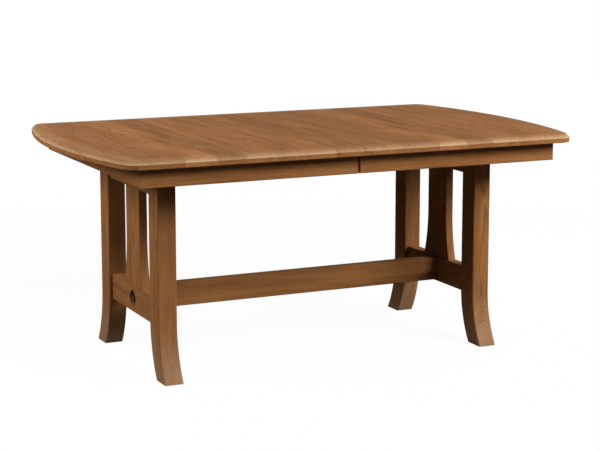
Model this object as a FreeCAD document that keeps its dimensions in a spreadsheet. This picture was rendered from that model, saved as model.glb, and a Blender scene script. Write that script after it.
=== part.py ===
import FreeCAD, Part
import math
import os
from types import SimpleNamespace

import Sketcher
from FreeCAD import Placement, Rotation, Vector

# Extending trestle dining table. Millimetres, +X along the table, front towards -Y, +Z up,
# origin on the floor under the middle of the top.

DRIVING_SIZES = [
    # The top, sawn across its middle into two halves that slide apart
    ("table_height", 762.0, "floor to the top's upper face"),
    ("top_length", 1730.0, "over the bowed ends, closed"),
    ("top_width", 1070.0, "front edge to rear edge"),
    ("top_thickness", 28.5, "thickness of the boards"),
    ("end_bow", 75.0, "how far each end swells past its corners"),
    ("corner_radius", 56.0, "rounding of the corners in plan"),
    ("edge_bevel", 13.0, "bevel of the upper edge"),
    ("edge_ease", 3.0, "rounding of the lower edge"),
    ("seam_ease", 0.8, "bevel along the seam"),
    # The apron under each half
    ("apron_height", 62.5, "depth of the apron boards"),
    ("apron_thickness", 20.0, "thickness of the apron boards"),
    ("apron_side_inset", 44.0, "front edge of the top to the apron"),
    ("apron_end_inset", 124.0, "end of the top to the apron"),
    ("apron_ease", 2.0, "rounding of the apron's lower edges"),
    ("apron_seam_gap", 3.5, "seam to the end of each side apron"),
    ("apron_seam_ease", 1.2, "bevel of the side aprons' ends at the seam"),
    ("cleat_size", 18.0, "side of the square cleats, glued to the apron and the top"),
    ("cleat_setback", 60.0, "seam to the side cleat"),
    ("cleat_corner_gap", 80.0, "end cleat or side cleat to the apron's corner"),
    ("block_leg", 75.0, "corner block along each apron"),
    ("block_height", 38.0, "height of the corner block"),
    ("block_lift", 4.0, "corner block above the apron's lower edge"),
    # The two trestles
    ("slide_space", 57.5, "trestle's upper face to the underside of the top"),
    ("trestle_inset", 278.5, "end of the top to the trestle's middle plane"),
    ("trestle_width", 578.0, "over the straight part of the legs"),
    ("leg_thickness", 64.0, "leg along the table"),
    ("leg_width", 82.0, "leg across the table"),
    ("flare_height", 190.0, "floor to where the leg begins to sweep out"),
    ("flare_reach", 55.0, "how far the foot sweeps out"),
    ("leg_ease", 2.5, "bevel of the leg's corners"),
    ("rail_thickness", 38.0, "rails along the table"),
    ("rail_ease", 2.0, "rounding of the rails' corners"),
    ("upper_rail_height", 78.0, "height of the upper rail"),
    ("lower_rail_height", 90.0, "height of the lower rail"),
    ("lower_rail_lift", 171.0, "floor to the lower rail"),
    ("tenon_length", 40.0, "rail tenon in the leg"),
    ("tenon_thickness", 13.0, "rail tenon along the table"),
    ("tenon_shoulder", 12.0, "rail tenon below the rail's edge"),
    ("joint_gap", 0.2, "room round a tenon, bolt or nut"),
    ("joint_depth_gap", 0.8, "room past the end of a tenon"),
    ("splat_thickness", 29.0, "splat along the table"),
    ("splat_width", 130.0, "splat across the table, at its top"),
    ("splat_flare_height", 169.0, "height of the splat's spreading foot"),
    ("splat_flare_reach", 25.0, "how far the splat spreads on each side"),
    ("splat_ease", 1.5, "bevel of the splat's corners"),
    ("splat_tenon_length", 22.0, "splat tenon in the rails"),
    ("splat_tenon_thickness", 12.0, "splat tenon along the table"),
    ("splat_tenon_shoulder", 15.0, "splat tenon inside the splat's edge"),
    # The stretcher and its bolts
    ("stretcher_thickness", 38.0, "stretcher across the table"),
    ("stretcher_height", 83.0, "height of the stretcher"),
    ("stretcher_tenon_length", 10.0, "stub tenon in the lower rail"),
    ("stretcher_tenon_thickness", 20.0, "stub tenon across the table"),
    ("stretcher_tenon_shoulder", 14.0, "stub tenon below the stretcher's edge"),
    ("recess_diameter", 56.0, "round recess for the bolt's head"),
    ("recess_depth", 12.0, "depth of that recess"),
    ("recess_ease", 1.5, "bevel of the recess's rim"),
    ("washer_diameter", 40.0, "bolt's washer"),
    ("washer_thickness", 3.0, "bolt's washer"),
    ("bolt_diameter", 10.0, "bolt's shank"),
    ("bolt_length", 100.0, "bolt under its head"),
    ("bolt_head_width", 17.0, "hexagon head across its flats"),
    ("bolt_head_height", 6.5, "hexagon head"),
    ("nut_diameter", 16.0, "barrel nut"),
    ("nut_length", 34.0, "barrel nut"),
    ("nut_setback", 55.0, "stretcher's shoulder to the barrel nut"),
    # The extension slides
    ("slide_offset", 130.0, "middle of the table to a slide's middle"),
    ("slide_travel", 305.0, "how far each half draws out"),
    ("runner_width", 40.0, "fixed runner's grooved head"),
    ("runner_overhang", 32.0, "fixed runner past the trestle's middle plane"),
    ("runner_top_gap", 3.5, "fixed runner to the underside of the top"),
    ("runner_floor_gap", 4.0, "side runner to the trestle's upper face"),
    ("runner_side_gap", 0.5, "between neighbouring runners"),
    ("runner_relief", 1.0, "side runner below the other half's underside"),
    ("web_width", 28.0, "fixed runner's lower web"),
    ("groove_lip", 5.0, "fixed runner's head below its groove"),
    ("side_runner_width", 30.0, "side runner, without its tongue"),
    ("side_runner_lead", 90.0, "side runner past its rack"),
    ("side_runner_end_gap", 6.0, "side runner's end to the end cleat"),
    ("dovetail_depth", 9.0, "groove in the fixed runner"),
    ("dovetail_mouth", 14.0, "groove's height at the face"),
    ("dovetail_root", 20.0, "groove's height at the bottom"),
    ("dovetail_drop", 15.0, "fixed runner's upper face to the groove's middle"),
    ("dovetail_gap", 0.35, "room round the tongue"),
    ("gear_module", 4.0, "pitch diameter per tooth"),
    ("tooth_backlash", 0.5, "play of the teeth along the rack"),
    ("pinion_thickness", 11.0, "pinion's face width"),
    ("pinion_gap", 0.5, "pinion to the window above and below"),
    ("pinion_lift", 6.0, "trestle's upper face to the rack"),
    ("window_gap", 4.0, "pinion's tips to the ends of its window"),
    ("rack_back", 4.0, "rack behind its teeth"),
    ("rack_margin", 25.0, "rack past the pinion at each limit"),
    ("axle_diameter", 8.0, "pinion's axle"),
    ("axle_gap", 0.06, "radial room of the pinion on its axle"),
    ("axle_head_diameter", 15.0, "axle's head"),
    ("axle_head_height", 3.5, "axle's head"),
    ("axle_grip", 10.0, "axle in the runner's head"),
    # Screws
    ("screw_diameter", 4.5, "shank"),
    ("screw_head_diameter", 9.0, "head"),
    ("screw_head_height", 3.5, "head"),
    ("screw_gap", 0.1, "radial room round the shank"),
    ("screw_bite", 17.0, "shank in the piece it holds"),
    ("screw_tip_gap", 0.8, "room past the shank's end"),
    ("counterbore_gap", 1.0, "radial room round a sunk head"),
    ("runner_grip", 18.0, "wood between a side runner's screw head and the top"),
    ("rail_grip", 22.0, "wood between a fixed runner's screw head and the rail"),
    # Pins that line the halves up
    ("pin_diameter", 9.5, "alignment pin"),
    ("pin_length", 44.0, "alignment pin"),
    ("pin_bite", 24.0, "alignment pin in its own half"),
    ("pin_gap", 0.4, "room of the pin in its bushing, round it and past its end"),
    ("bushing_wall", 1.6, "bushing in the other half"),
    # The two seam locks
    ("lock_inset", 91.0, "apron's inner face to a lock's pivot"),
    ("lock_reach", 42.0, "seam to the lever's pivot, and to its keeper"),
    ("lock_plate_length", 56.0, "lock's plate along the table"),
    ("lock_plate_width", 36.0, "lock's plate across the table"),
    ("lock_plate_thickness", 3.0, "lock's plate and the keeper's plate"),
    ("lock_post_diameter", 8.0, "pivot and keeper post"),
    ("lock_head_diameter", 14.0, "head of the pivot and of the keeper"),
    ("lock_head_thickness", 2.5, "head of the pivot and of the keeper"),
    ("keeper_plate_side", 28.0, "keeper's square plate"),
    ("lever_thickness", 3.0, "lever"),
    ("lever_gap", 0.4, "lever to the plate above and the head below"),
    ("lever_hub_diameter", 26.0, "lever round its pivot"),
    ("lever_half_width", 8.0, "lever's leading edge from its middle line"),
    ("lever_back_width", 13.0, "hook's back edge from its middle line"),
    ("lever_tip", 12.0, "hook past the keeper's middle"),
    ("lever_tail", 44.0, "grip behind the pivot"),
    ("tab_height", 14.0, "turned-down finger tab"),
    ("notch_gap", 0.8, "room between the hook and the keeper"),
]
PINION_TEETH = 12
PRESSURE_ANGLE = math.radians(25)
DEDENDUM_SHARE = 1.25
SCREW_LINE_SHARE = 0.7
RUNNER_SCREW_SHARES = (0.15, 0.85)
PIN_SHARES = (-0.38, 0.0, 0.38)
MATCH = 0.001


class Size:
    """A size with its value and the expression that ties it to the sheet."""

    def __init__(self, text, value):
        self.text = text
        self.value = value

    def __add__(self, other):
        other = as_size(other)
        return Size(f"({self.text} + {other.text})", self.value + other.value)

    def __sub__(self, other):
        other = as_size(other)
        return Size(f"({self.text} - {other.text})", self.value - other.value)

    def __mul__(self, other):
        other = as_size(other)
        return Size(f"({self.text} * {other.text})", self.value * other.value)

    def __truediv__(self, other):
        other = as_size(other)
        return Size(f"({self.text} / {other.text})", self.value / other.value)

    def __neg__(self):
        return Size(f"(0 - {self.text})", -self.value)


def as_size(number):
    """A plain number taken as a Size; a Size stays as it is."""
    if isinstance(number, Size):
        return number
    return Size(f"({number!r})", float(number))


def root(size):
    """Square root of a Size."""
    return Size(f"sqrt({size.text})", math.sqrt(size.value))


doc = FreeCAD.newDocument("trestle_dining_table")
sheet = doc.addObject("Spreadsheet::Sheet", "Sizes")
s = SimpleNamespace()
for row, (alias, value, note) in enumerate(DRIVING_SIZES, start=1):
    sheet.set(f"A{row}", alias)
    sheet.set(f"B{row}", str(value))
    sheet.set(f"C{row}", note)
    sheet.setAlias(f"B{row}", alias)
    setattr(s, alias, Size(f"Sizes.{alias}", value))
doc.recompute()
ZERO = as_size(0)

# Levels and planes that several pieces share
under_top = s.table_height - s.top_thickness
base_top = under_top - s.slide_space
apron_bottom = under_top - s.apron_height
apron_face = s.top_width / 2 - s.apron_side_inset
apron_back = apron_face - s.apron_thickness
apron_end = s.top_length / 2 - s.apron_end_inset
apron_end_back = apron_end - s.apron_thickness
trestle_x = s.top_length / 2 - s.trestle_inset
leg_outer = s.trestle_width / 2
leg_inner = leg_outer - s.leg_width
upper_rail_bottom = base_top - s.upper_rail_height
lower_rail_top = s.lower_rail_lift + s.lower_rail_height
bolt_level = s.lower_rail_lift + s.lower_rail_height / 2
stretcher_bottom = lower_rail_top - s.stretcher_height
stretcher_end = trestle_x - s.rail_thickness / 2
pitch = s.gear_module * math.pi
pitch_radius = s.gear_module * PINION_TEETH / 2
tip_radius = pitch_radius + s.gear_module
rack_tip = pitch_radius - s.gear_module
rack_root = pitch_radius + s.gear_module * DEDENDUM_SHARE
rack_rear = rack_root + s.rack_back
rack_bottom = base_top + s.pinion_lift
rack_top = rack_bottom + s.pinion_thickness + s.pinion_gap * 2
runner_top = under_top - s.runner_top_gap
runner_face = s.runner_width / 2 + s.runner_side_gap
runner_back = runner_face + s.side_runner_width
runner_end = apron_end_back - s.cleat_size - s.side_runner_end_gap
rack_reach = s.slide_travel + s.rack_margin
runner_reach = rack_reach + s.side_runner_lead
screw_line = runner_face + s.side_runner_width * SCREW_LINE_SHARE
counterbore = s.screw_head_diameter + s.counterbore_gap * 2
groove_level = runner_top - s.dovetail_drop
web_top = groove_level - s.dovetail_root / 2 - s.groove_lip
pin_level = under_top + s.top_thickness / 2
sleeve_bore = s.pin_diameter + s.pin_gap * 2
sleeve_diameter = sleeve_bore + s.bushing_wall * 2
sleeve_length = s.pin_length - s.pin_bite + s.pin_gap
lock_y = apron_back - s.lock_inset
plate_bottom = under_top - s.lock_plate_thickness
lever_top = plate_bottom - s.lever_gap
lever_bottom = lever_top - s.lever_thickness


def bind(target, path, size):
    """Tie one property of an object to the sheet."""
    target.setExpression(path, as_size(size).text)


def new_body(label, x=ZERO, y=ZERO, turned=False):
    """An empty body at (x, y), turned half round about Z where asked."""
    body = doc.addObject("PartDesign::Body", label)
    body.Label = label
    if turned:
        body.Placement = Placement(Vector(), Rotation(Vector(0, 0, 1), 180))
    bind(body, "Placement.Base.x", x)
    bind(body, "Placement.Base.y", y)
    return body


def sketch_on(body, plane, offset=ZERO):
    """A sketch on one of the body's own planes, moved along that plane's normal."""
    sketch = body.newObject("Sketcher::SketchObject", f"{body.Name}_sketch")
    support = [item for item in body.Origin.OriginFeatures if item.Role == plane][0]
    sketch.AttachmentSupport = [(support, "")]
    sketch.MapMode = "FlatFace"
    bind(sketch, "AttachmentOffset.Base.z", offset)
    return sketch


def fix_point(sketch, edge, end, point):
    """Hold one point of an edge at bound distances from the sketch's origin."""
    for kind, size in zip(("DistanceX", "DistanceY"), point):
        size = as_size(size)
        number = sketch.addConstraint(Sketcher.Constraint(kind, -1, 1, edge, end, size.value))
        sketch.setExpression(f"Constraints[{number}]", size.text)


def arc_between(start, end, radius, turn):
    """Arc of a circle from start to end, its centre to the left (turn 1) or right (turn -1)."""
    chord = end - start
    reach = math.sqrt(radius * radius - chord.Length * chord.Length / 4)
    side = Vector(-chord.y, chord.x, 0).normalize() * turn
    centre = (start + end) / 2 + side * reach
    first, last = (start, end) if turn > 0 else (end, start)
    angles = [math.atan2(point.y - centre.y, point.x - centre.x) for point in (first, last)]
    return Part.ArcOfCircle(Part.Circle(centre, Vector(0, 0, 1), radius), *angles)


def outline(sketch, corners, arcs=None):
    """Closed outline through the corners; arcs gives (radius, turn) for the edges that are round."""
    arcs = arcs or {}
    corners = [(as_size(x), as_size(y)) for x, y in corners]
    points = [Vector(x.value, y.value, 0) for x, y in corners]
    count = len(points)
    edges = []
    for number, start in enumerate(points):
        end = points[(number + 1) % count]
        radius, turn = arcs.get(number, (None, 1))
        if radius is None:
            shape = Part.LineSegment(start, end)
        else:
            shape = arc_between(start, end, radius.value, turn)
        ends = (1, 2) if turn > 0 else (2, 1)
        edges.append((sketch.addGeometry(shape, False), ends))
    for number, (edge, ends) in enumerate(edges):
        following, following_ends = edges[(number + 1) % count]
        joint = Sketcher.Constraint("Coincident", edge, ends[1], following, following_ends[0])
        sketch.addConstraint(joint)
    for (edge, ends), corner in zip(edges, corners):
        fix_point(sketch, edge, ends[0], corner)
    for number, (radius, turn) in arcs.items():
        limit = Sketcher.Constraint("Radius", edges[number][0], radius.value)
        index = sketch.addConstraint(limit)
        sketch.setExpression(f"Constraints[{index}]", radius.text)


def rectangle(sketch, left, right, low, high):
    """A rectangle between two distances each way."""
    outline(sketch, [(left, low), (right, low), (right, high), (left, high)])


def circle(sketch, x, y, diameter):
    """A circle at a bound place with a bound diameter."""
    x, y = as_size(x), as_size(y)
    ring = Part.Circle(Vector(x.value, y.value, 0), Vector(0, 0, 1), diameter.value / 2)
    edge = sketch.addGeometry(ring, False)
    fix_point(sketch, edge, 3, (x, y))
    index = sketch.addConstraint(Sketcher.Constraint("Diameter", edge, diameter.value))
    sketch.setExpression(f"Constraints[{index}]", diameter.text)


def extrude(kind, body, sketch, length, symmetric, turned):
    """Add or remove the sketch's outline over a length."""
    feature = body.newObject(f"PartDesign::{kind}", f"{body.Name}_{kind.lower()}")
    feature.Profile = sketch
    feature.SideType = "Symmetric" if symmetric else "One side"
    feature.Reversed = turned
    bind(feature, "Length", length)
    body.Tip = feature
    return feature


def pad(body, sketch, length, symmetric=False, turned=False):
    """Material along the sketch's normal, or against it where turned."""
    return extrude("Pad", body, sketch, length, symmetric, turned)


def pocket(body, sketch, length, symmetric=False, turned=False):
    """A cut against the sketch's normal, or along it where turned."""
    return extrude("Pocket", body, sketch, length, symmetric, turned)


def dress(kind, body, size, choose):
    """Round or bevel the edges of the body's present shape that choose picks."""
    doc.recompute()
    base = body.Tip
    names = [f"Edge{n}" for n, edge in enumerate(base.Shape.Edges, start=1) if choose(edge)]
    feature = body.newObject(f"PartDesign::{kind}", f"{body.Name}_{kind.lower()}")
    feature.Base = (base, names)
    bind(feature, "Radius" if kind == "Fillet" else "Size", size)
    body.Tip = feature


def runs_along(edge, axis):
    """Whether an edge is straight and parallel to an axis."""
    if edge.Curve.TypeId != "Part::GeomLine":
        return False
    return abs(edge.Curve.Direction.dot(axis)) > 1 - MATCH


def lies_at(edge, axis, size):
    """Whether an edge lies whole in the plane at a distance along an axis."""
    return all(abs(vertex.Point.dot(axis) - size.value) < MATCH for vertex in edge.Vertexes)


X_AXIS = Vector(1, 0, 0)
Y_AXIS = Vector(0, 1, 0)
Z_AXIS = Vector(0, 0, 1)


def make_leg(label, x, front):
    """A leg: straight to the lower rail, then swept outwards to its foot along an arc."""
    sweep = (s.flare_height * s.flare_height + s.flare_reach * s.flare_reach) / (s.flare_reach * 2)
    body = new_body(label, x, turned=front)
    side = sketch_on(body, "YZ_Plane")
    corners = [
        (leg_inner, base_top),
        (leg_inner, s.flare_height),
        (leg_inner + s.flare_reach, 0),
        (leg_outer + s.flare_reach, 0),
        (leg_outer, s.flare_height),
        (leg_outer, base_top),
    ]
    outline(side, corners, {1: (sweep, 1), 3: (sweep, -1)})
    pad(body, side, s.leg_thickness, symmetric=True)
    half = s.leg_thickness / 2
    dress("Chamfer", body, s.leg_ease, lambda edge: edge.BoundBox.ZLength > MATCH and (
        lies_at(edge, X_AXIS, half) or lies_at(edge, X_AXIS, -half)))
    mortises = sketch_on(body, "XZ_Plane", -leg_inner)
    wide = s.tenon_thickness / 2 + s.joint_gap
    for low, high in ((upper_rail_bottom, base_top), (s.lower_rail_lift, lower_rail_top)):
        inside = s.tenon_shoulder - s.joint_gap
        rectangle(mortises, -wide, wide, low + inside, high - inside)
    pocket(body, mortises, s.tenon_length + s.joint_depth_gap)
    return body


def rail_blank(label, x, turned, bottom, top):
    """A trestle rail between the legs, with a tenon at each end."""
    body = new_body(label, x, turned=turned)
    face = sketch_on(body, "YZ_Plane")
    rectangle(face, -leg_inner, leg_inner, bottom, top)
    pad(body, face, s.rail_thickness, symmetric=True)
    dress("Fillet", body, s.rail_ease, lambda edge: runs_along(edge, Y_AXIS))
    tenons = sketch_on(body, "YZ_Plane")
    reach = leg_inner + s.tenon_length
    rectangle(tenons, -reach, reach, bottom + s.tenon_shoulder, top - s.tenon_shoulder)
    pad(body, tenons, s.tenon_thickness, symmetric=True)
    return body


def splat_mortise(body, level, half_width, upwards):
    """The slot in a rail that takes the splat's tenon."""
    slot = sketch_on(body, "XY_Plane", level)
    deep = s.splat_tenon_thickness / 2 + s.joint_gap
    wide = half_width - s.splat_tenon_shoulder + s.joint_gap
    rectangle(slot, -deep, deep, -wide, wide)
    pocket(body, slot, s.splat_tenon_length + s.joint_depth_gap, turned=upwards)


def make_upper_rail(label, x, turned):
    """The upper rail, drilled for the fixed runners' screws."""
    body = rail_blank(label, x, turned, upper_rail_bottom, base_top)
    splat_mortise(body, upper_rail_bottom, s.splat_width / 2, upwards=True)
    holes = sketch_on(body, "XY_Plane", base_top)
    for across in (-s.slide_offset, s.slide_offset):
        circle(holes, 0, across, s.screw_diameter + s.screw_gap * 2)
    pocket(body, holes, s.screw_bite + s.screw_tip_gap)
    return body


def make_lower_rail(label, x, turned):
    """The lower rail: splat above, stretcher inside, round bolt recess outside."""
    body = rail_blank(label, x, turned, s.lower_rail_lift, lower_rail_top)
    splat_mortise(body, lower_rail_top, s.splat_width / 2 + s.splat_flare_reach, upwards=False)
    half = s.rail_thickness / 2
    stub = sketch_on(body, "YZ_Plane", -half)
    wide = s.stretcher_tenon_thickness / 2 + s.joint_gap
    inside = s.stretcher_tenon_shoulder - s.joint_gap
    rectangle(stub, -wide, wide, stretcher_bottom + inside, lower_rail_top - inside)
    pocket(body, stub, s.stretcher_tenon_length + s.joint_depth_gap, turned=True)
    recess = sketch_on(body, "YZ_Plane", half)
    circle(recess, 0, bolt_level, s.recess_diameter)
    pocket(body, recess, s.recess_depth)
    dress("Chamfer", body, s.recess_ease, lambda edge: edge.Curve.TypeId == "Part::GeomCircle"
          and lies_at(edge, X_AXIS, half))
    hole = sketch_on(body, "YZ_Plane", half)
    circle(hole, 0, bolt_level, s.bolt_diameter + s.joint_gap * 2)
    pocket(body, hole, s.rail_thickness)
    return body


def make_splat(label, x, turned):
    """The middle board of a trestle, spreading in two hollow curves at its foot."""
    hollow = (s.splat_flare_height * s.splat_flare_height + s.splat_flare_reach * s.splat_flare_reach)
    hollow = hollow / (s.splat_flare_reach * 2)
    narrow = s.splat_width / 2
    broad = narrow + s.splat_flare_reach
    flare_top = lower_rail_top + s.splat_flare_height
    body = new_body(label, x, turned=turned)
    face = sketch_on(body, "YZ_Plane")
    corners = [
        (-broad, lower_rail_top),
        (broad, lower_rail_top),
        (narrow, flare_top),
        (narrow, upper_rail_bottom),
        (-narrow, upper_rail_bottom),
        (-narrow, flare_top),
    ]
    outline(face, corners, {1: (hollow, -1), 5: (hollow, -1)})
    pad(body, face, s.splat_thickness, symmetric=True)
    half = s.splat_thickness / 2
    dress("Chamfer", body, s.splat_ease, lambda edge: edge.BoundBox.ZLength > MATCH and (
        lies_at(edge, X_AXIS, half) or lies_at(edge, X_AXIS, -half)))
    ends = ((upper_rail_bottom, narrow, False), (lower_rail_top, broad, True))
    for level, half_width, downwards in ends:
        tenon = sketch_on(body, "XY_Plane", level)
        deep = s.splat_tenon_thickness / 2
        wide = half_width - s.splat_tenon_shoulder
        rectangle(tenon, -deep, deep, -wide, wide)
        pad(body, tenon, s.splat_tenon_length, turned=downwards)
    return body


def make_stretcher():
    """The long stretcher, bored at each end for its bolt and barrel nut."""
    body = new_body("stretcher")
    section = sketch_on(body, "YZ_Plane")
    half = s.stretcher_thickness / 2
    rectangle(section, -half, half, stretcher_bottom, lower_rail_top)
    pad(body, section, stretcher_end * 2, symmetric=True)
    dress("Fillet", body, s.rail_ease, lambda edge: runs_along(edge, X_AXIS))
    stub = sketch_on(body, "YZ_Plane")
    wide = s.stretcher_tenon_thickness / 2
    inside = s.stretcher_tenon_shoulder
    rectangle(stub, -wide, wide, stretcher_bottom + inside, lower_rail_top - inside)
    tenon_end = stretcher_end + s.stretcher_tenon_length
    pad(body, stub, tenon_end * 2, symmetric=True)
    bolt_end = trestle_x + s.rail_thickness / 2 - s.recess_depth + s.washer_thickness - s.bolt_length
    for place, turned in ((tenon_end, False), (-tenon_end, True)):
        hole = sketch_on(body, "YZ_Plane", place)
        circle(hole, 0, bolt_level, s.bolt_diameter + s.joint_gap * 2)
        pocket(body, hole, tenon_end - bolt_end + s.joint_depth_gap, turned=turned)
    nut_holes = sketch_on(body, "XY_Plane", stretcher_bottom)
    nut_x = stretcher_end - s.nut_setback
    for place in (-nut_x, nut_x):
        circle(nut_holes, place, 0, s.nut_diameter + s.joint_gap * 2)
    nut_top = bolt_level + s.nut_length / 2
    pocket(body, nut_holes, nut_top + s.joint_gap - stretcher_bottom, turned=True)
    return body


def make_stretcher_bolts():
    """The two hexagon bolts that draw the stretcher to the lower rails."""
    body = new_body("stretcher_bolts")
    floor = trestle_x + s.rail_thickness / 2 - s.recess_depth + s.washer_thickness
    corner = s.bolt_head_width / math.sqrt(3)
    angles = [math.radians(60 * number) for number in range(6)]
    hexagon = [(corner * math.cos(a), bolt_level + corner * math.sin(a)) for a in angles]
    for place, turned in ((floor, False), (-floor, True)):
        head = sketch_on(body, "YZ_Plane", place)
        outline(head, hexagon)
        pad(body, head, s.bolt_head_height, turned=turned)
        shank = sketch_on(body, "YZ_Plane", place)
        circle(shank, 0, bolt_level, s.bolt_diameter)
        pad(body, shank, s.bolt_length, turned=not turned)
    return body


def make_stretcher_washers():
    """The flat washers under the bolts' heads."""
    body = new_body("stretcher_washers")
    floor = trestle_x + s.rail_thickness / 2 - s.recess_depth
    for place, turned in ((floor, False), (-floor, True)):
        ring = sketch_on(body, "YZ_Plane", place)
        circle(ring, 0, bolt_level, s.washer_diameter)
        circle(ring, 0, bolt_level, s.bolt_diameter + s.joint_gap * 2)
        pad(body, ring, s.washer_thickness, turned=turned)
    return body


def make_barrel_nuts():
    """The cross-bored nuts let into the stretcher from below."""
    body = new_body("stretcher_barrel_nuts")
    nut_x = stretcher_end - s.nut_setback
    rounds = sketch_on(body, "XY_Plane", bolt_level)
    for place in (-nut_x, nut_x):
        circle(rounds, place, 0, s.nut_diameter)
    pad(body, rounds, s.nut_length, symmetric=True)
    cross = sketch_on(body, "YZ_Plane")
    circle(cross, 0, bolt_level, s.bolt_diameter + s.joint_gap * 2)
    pocket(body, cross, (nut_x + s.nut_diameter) * 2, symmetric=True)
    return body


def make_fixed_runner(label, y):
    """The fixed middle runner of a slide: web below, grooved head above, window for the pinion."""
    body = new_body(label, y=y)
    head = s.runner_width / 2
    web = s.web_width / 2
    deep = head - s.dovetail_depth
    mouth = s.dovetail_mouth / 2
    bottom = s.dovetail_root / 2
    right = [
        (web, base_top),
        (web, web_top),
        (head, web_top),
        (head, groove_level - mouth),
        (deep, groove_level - bottom),
        (deep, groove_level + bottom),
        (head, groove_level + mouth),
        (head, runner_top),
    ]
    left = [(-y_size, z_size) for y_size, z_size in reversed(right)]
    section = sketch_on(body, "YZ_Plane")
    outline(section, right + left)
    pad(body, section, (trestle_x + s.runner_overhang) * 2, symmetric=True)
    window = sketch_on(body, "XZ_Plane")
    wide = tip_radius + s.window_gap
    rectangle(window, -wide, wide, rack_bottom, rack_top)
    pocket(body, window, s.runner_width, symmetric=True)
    axle_hole = sketch_on(body, "XY_Plane", base_top)
    circle(axle_hole, 0, 0, s.axle_diameter + s.screw_gap * 2)
    pocket(body, axle_hole, rack_top + s.axle_grip + s.screw_tip_gap - base_top, turned=True)
    shanks = sketch_on(body, "XY_Plane", runner_top)
    sinks = sketch_on(body, "XY_Plane", runner_top)
    for x in (-trestle_x, trestle_x):
        circle(shanks, x, 0, s.screw_diameter + s.screw_gap * 2)
        circle(sinks, x, 0, counterbore)
    pocket(body, shanks, runner_top - base_top)
    pocket(body, sinks, runner_top - base_top - s.rail_grip)
    return body


def make_side_runner(label, y, turned):
    """A side runner with its dovetail tongue; its rack lies in a groove beside the pinion."""
    body = new_body(label, y=y, turned=turned)
    tip = runner_face - s.runner_side_gap - s.dovetail_depth + s.dovetail_gap
    narrow = s.dovetail_mouth / 2 - s.dovetail_gap
    broad = s.dovetail_root / 2 - s.dovetail_gap
    section = sketch_on(body, "YZ_Plane", -runner_reach)
    corners = [
        (-runner_back, base_top + s.runner_floor_gap),
        (-runner_face, base_top + s.runner_floor_gap),
        (-runner_face, groove_level - narrow),
        (-tip, groove_level - broad),
        (-tip, groove_level + broad),
        (-runner_face, groove_level + narrow),
        (-runner_face, under_top),
        (-runner_back, under_top),
    ]
    outline(section, corners)
    pad(body, section, runner_reach + runner_end)
    relief = sketch_on(body, "XY_Plane", under_top)
    rectangle(relief, -runner_reach, 0, -runner_back, -runner_face)
    pocket(body, relief, s.runner_relief)
    groove = sketch_on(body, "XZ_Plane", runner_face)
    rectangle(groove, -rack_reach, s.rack_margin, rack_bottom, rack_top)
    pocket(body, groove, rack_rear - runner_face, turned=True)
    shanks = sketch_on(body, "XY_Plane", base_top + s.runner_floor_gap)
    sinks = sketch_on(body, "XY_Plane", base_top + s.runner_floor_gap)
    for share in RUNNER_SCREW_SHARES:
        circle(shanks, runner_end * share, -screw_line, s.screw_diameter + s.screw_gap * 2)
        circle(sinks, runner_end * share, -screw_line, counterbore)
    height = s.slide_space - s.runner_floor_gap
    pocket(body, shanks, height, turned=True)
    pocket(body, sinks, height - s.runner_grip, turned=True)
    return body


def make_rack(label, y, turned):
    """A rack: a bar with straight-flanked gaps, one of them facing the pinion at rest."""
    body = new_body(label, y=y, turned=turned)
    bar = sketch_on(body, "XY_Plane", rack_bottom)
    rectangle(bar, -rack_reach, s.rack_margin, -rack_rear, -rack_tip)
    pad(body, bar, rack_top - rack_bottom)
    slope = math.tan(PRESSURE_ANGLE)
    half_gap = pitch / 4 + s.tooth_backlash / 4
    broad = half_gap + s.gear_module * slope
    narrow = half_gap - s.gear_module * (DEDENDUM_SHARE * slope)
    before = math.floor((rack_reach.value - broad.value) / pitch.value)
    after = math.floor((s.rack_margin.value - broad.value) / pitch.value)
    first = -(pitch * before)
    gap = sketch_on(body, "XY_Plane", rack_bottom)
    corners = [
        (first - broad, -rack_tip),
        (first - narrow, -rack_root),
        (first + narrow, -rack_root),
        (first + broad, -rack_tip),
    ]
    outline(gap, corners)
    tooth_gap = pocket(body, gap, rack_top - rack_bottom, turned=True)
    doc.recompute()
    row_of_gaps = body.newObject("PartDesign::LinearPattern", f"{body.Name}_teeth")
    row_of_gaps.Originals = [tooth_gap]
    row_of_gaps.Direction = (gap, ["H_Axis"])
    row_of_gaps.Mode = "Spacing"
    bind(row_of_gaps, "Offset", pitch)
    row_of_gaps.Occurrences = before + after + 1
    body.Tip = row_of_gaps
    return body


def involute(angle):
    """The involute of a pressure angle."""
    return math.tan(angle) - angle


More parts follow.
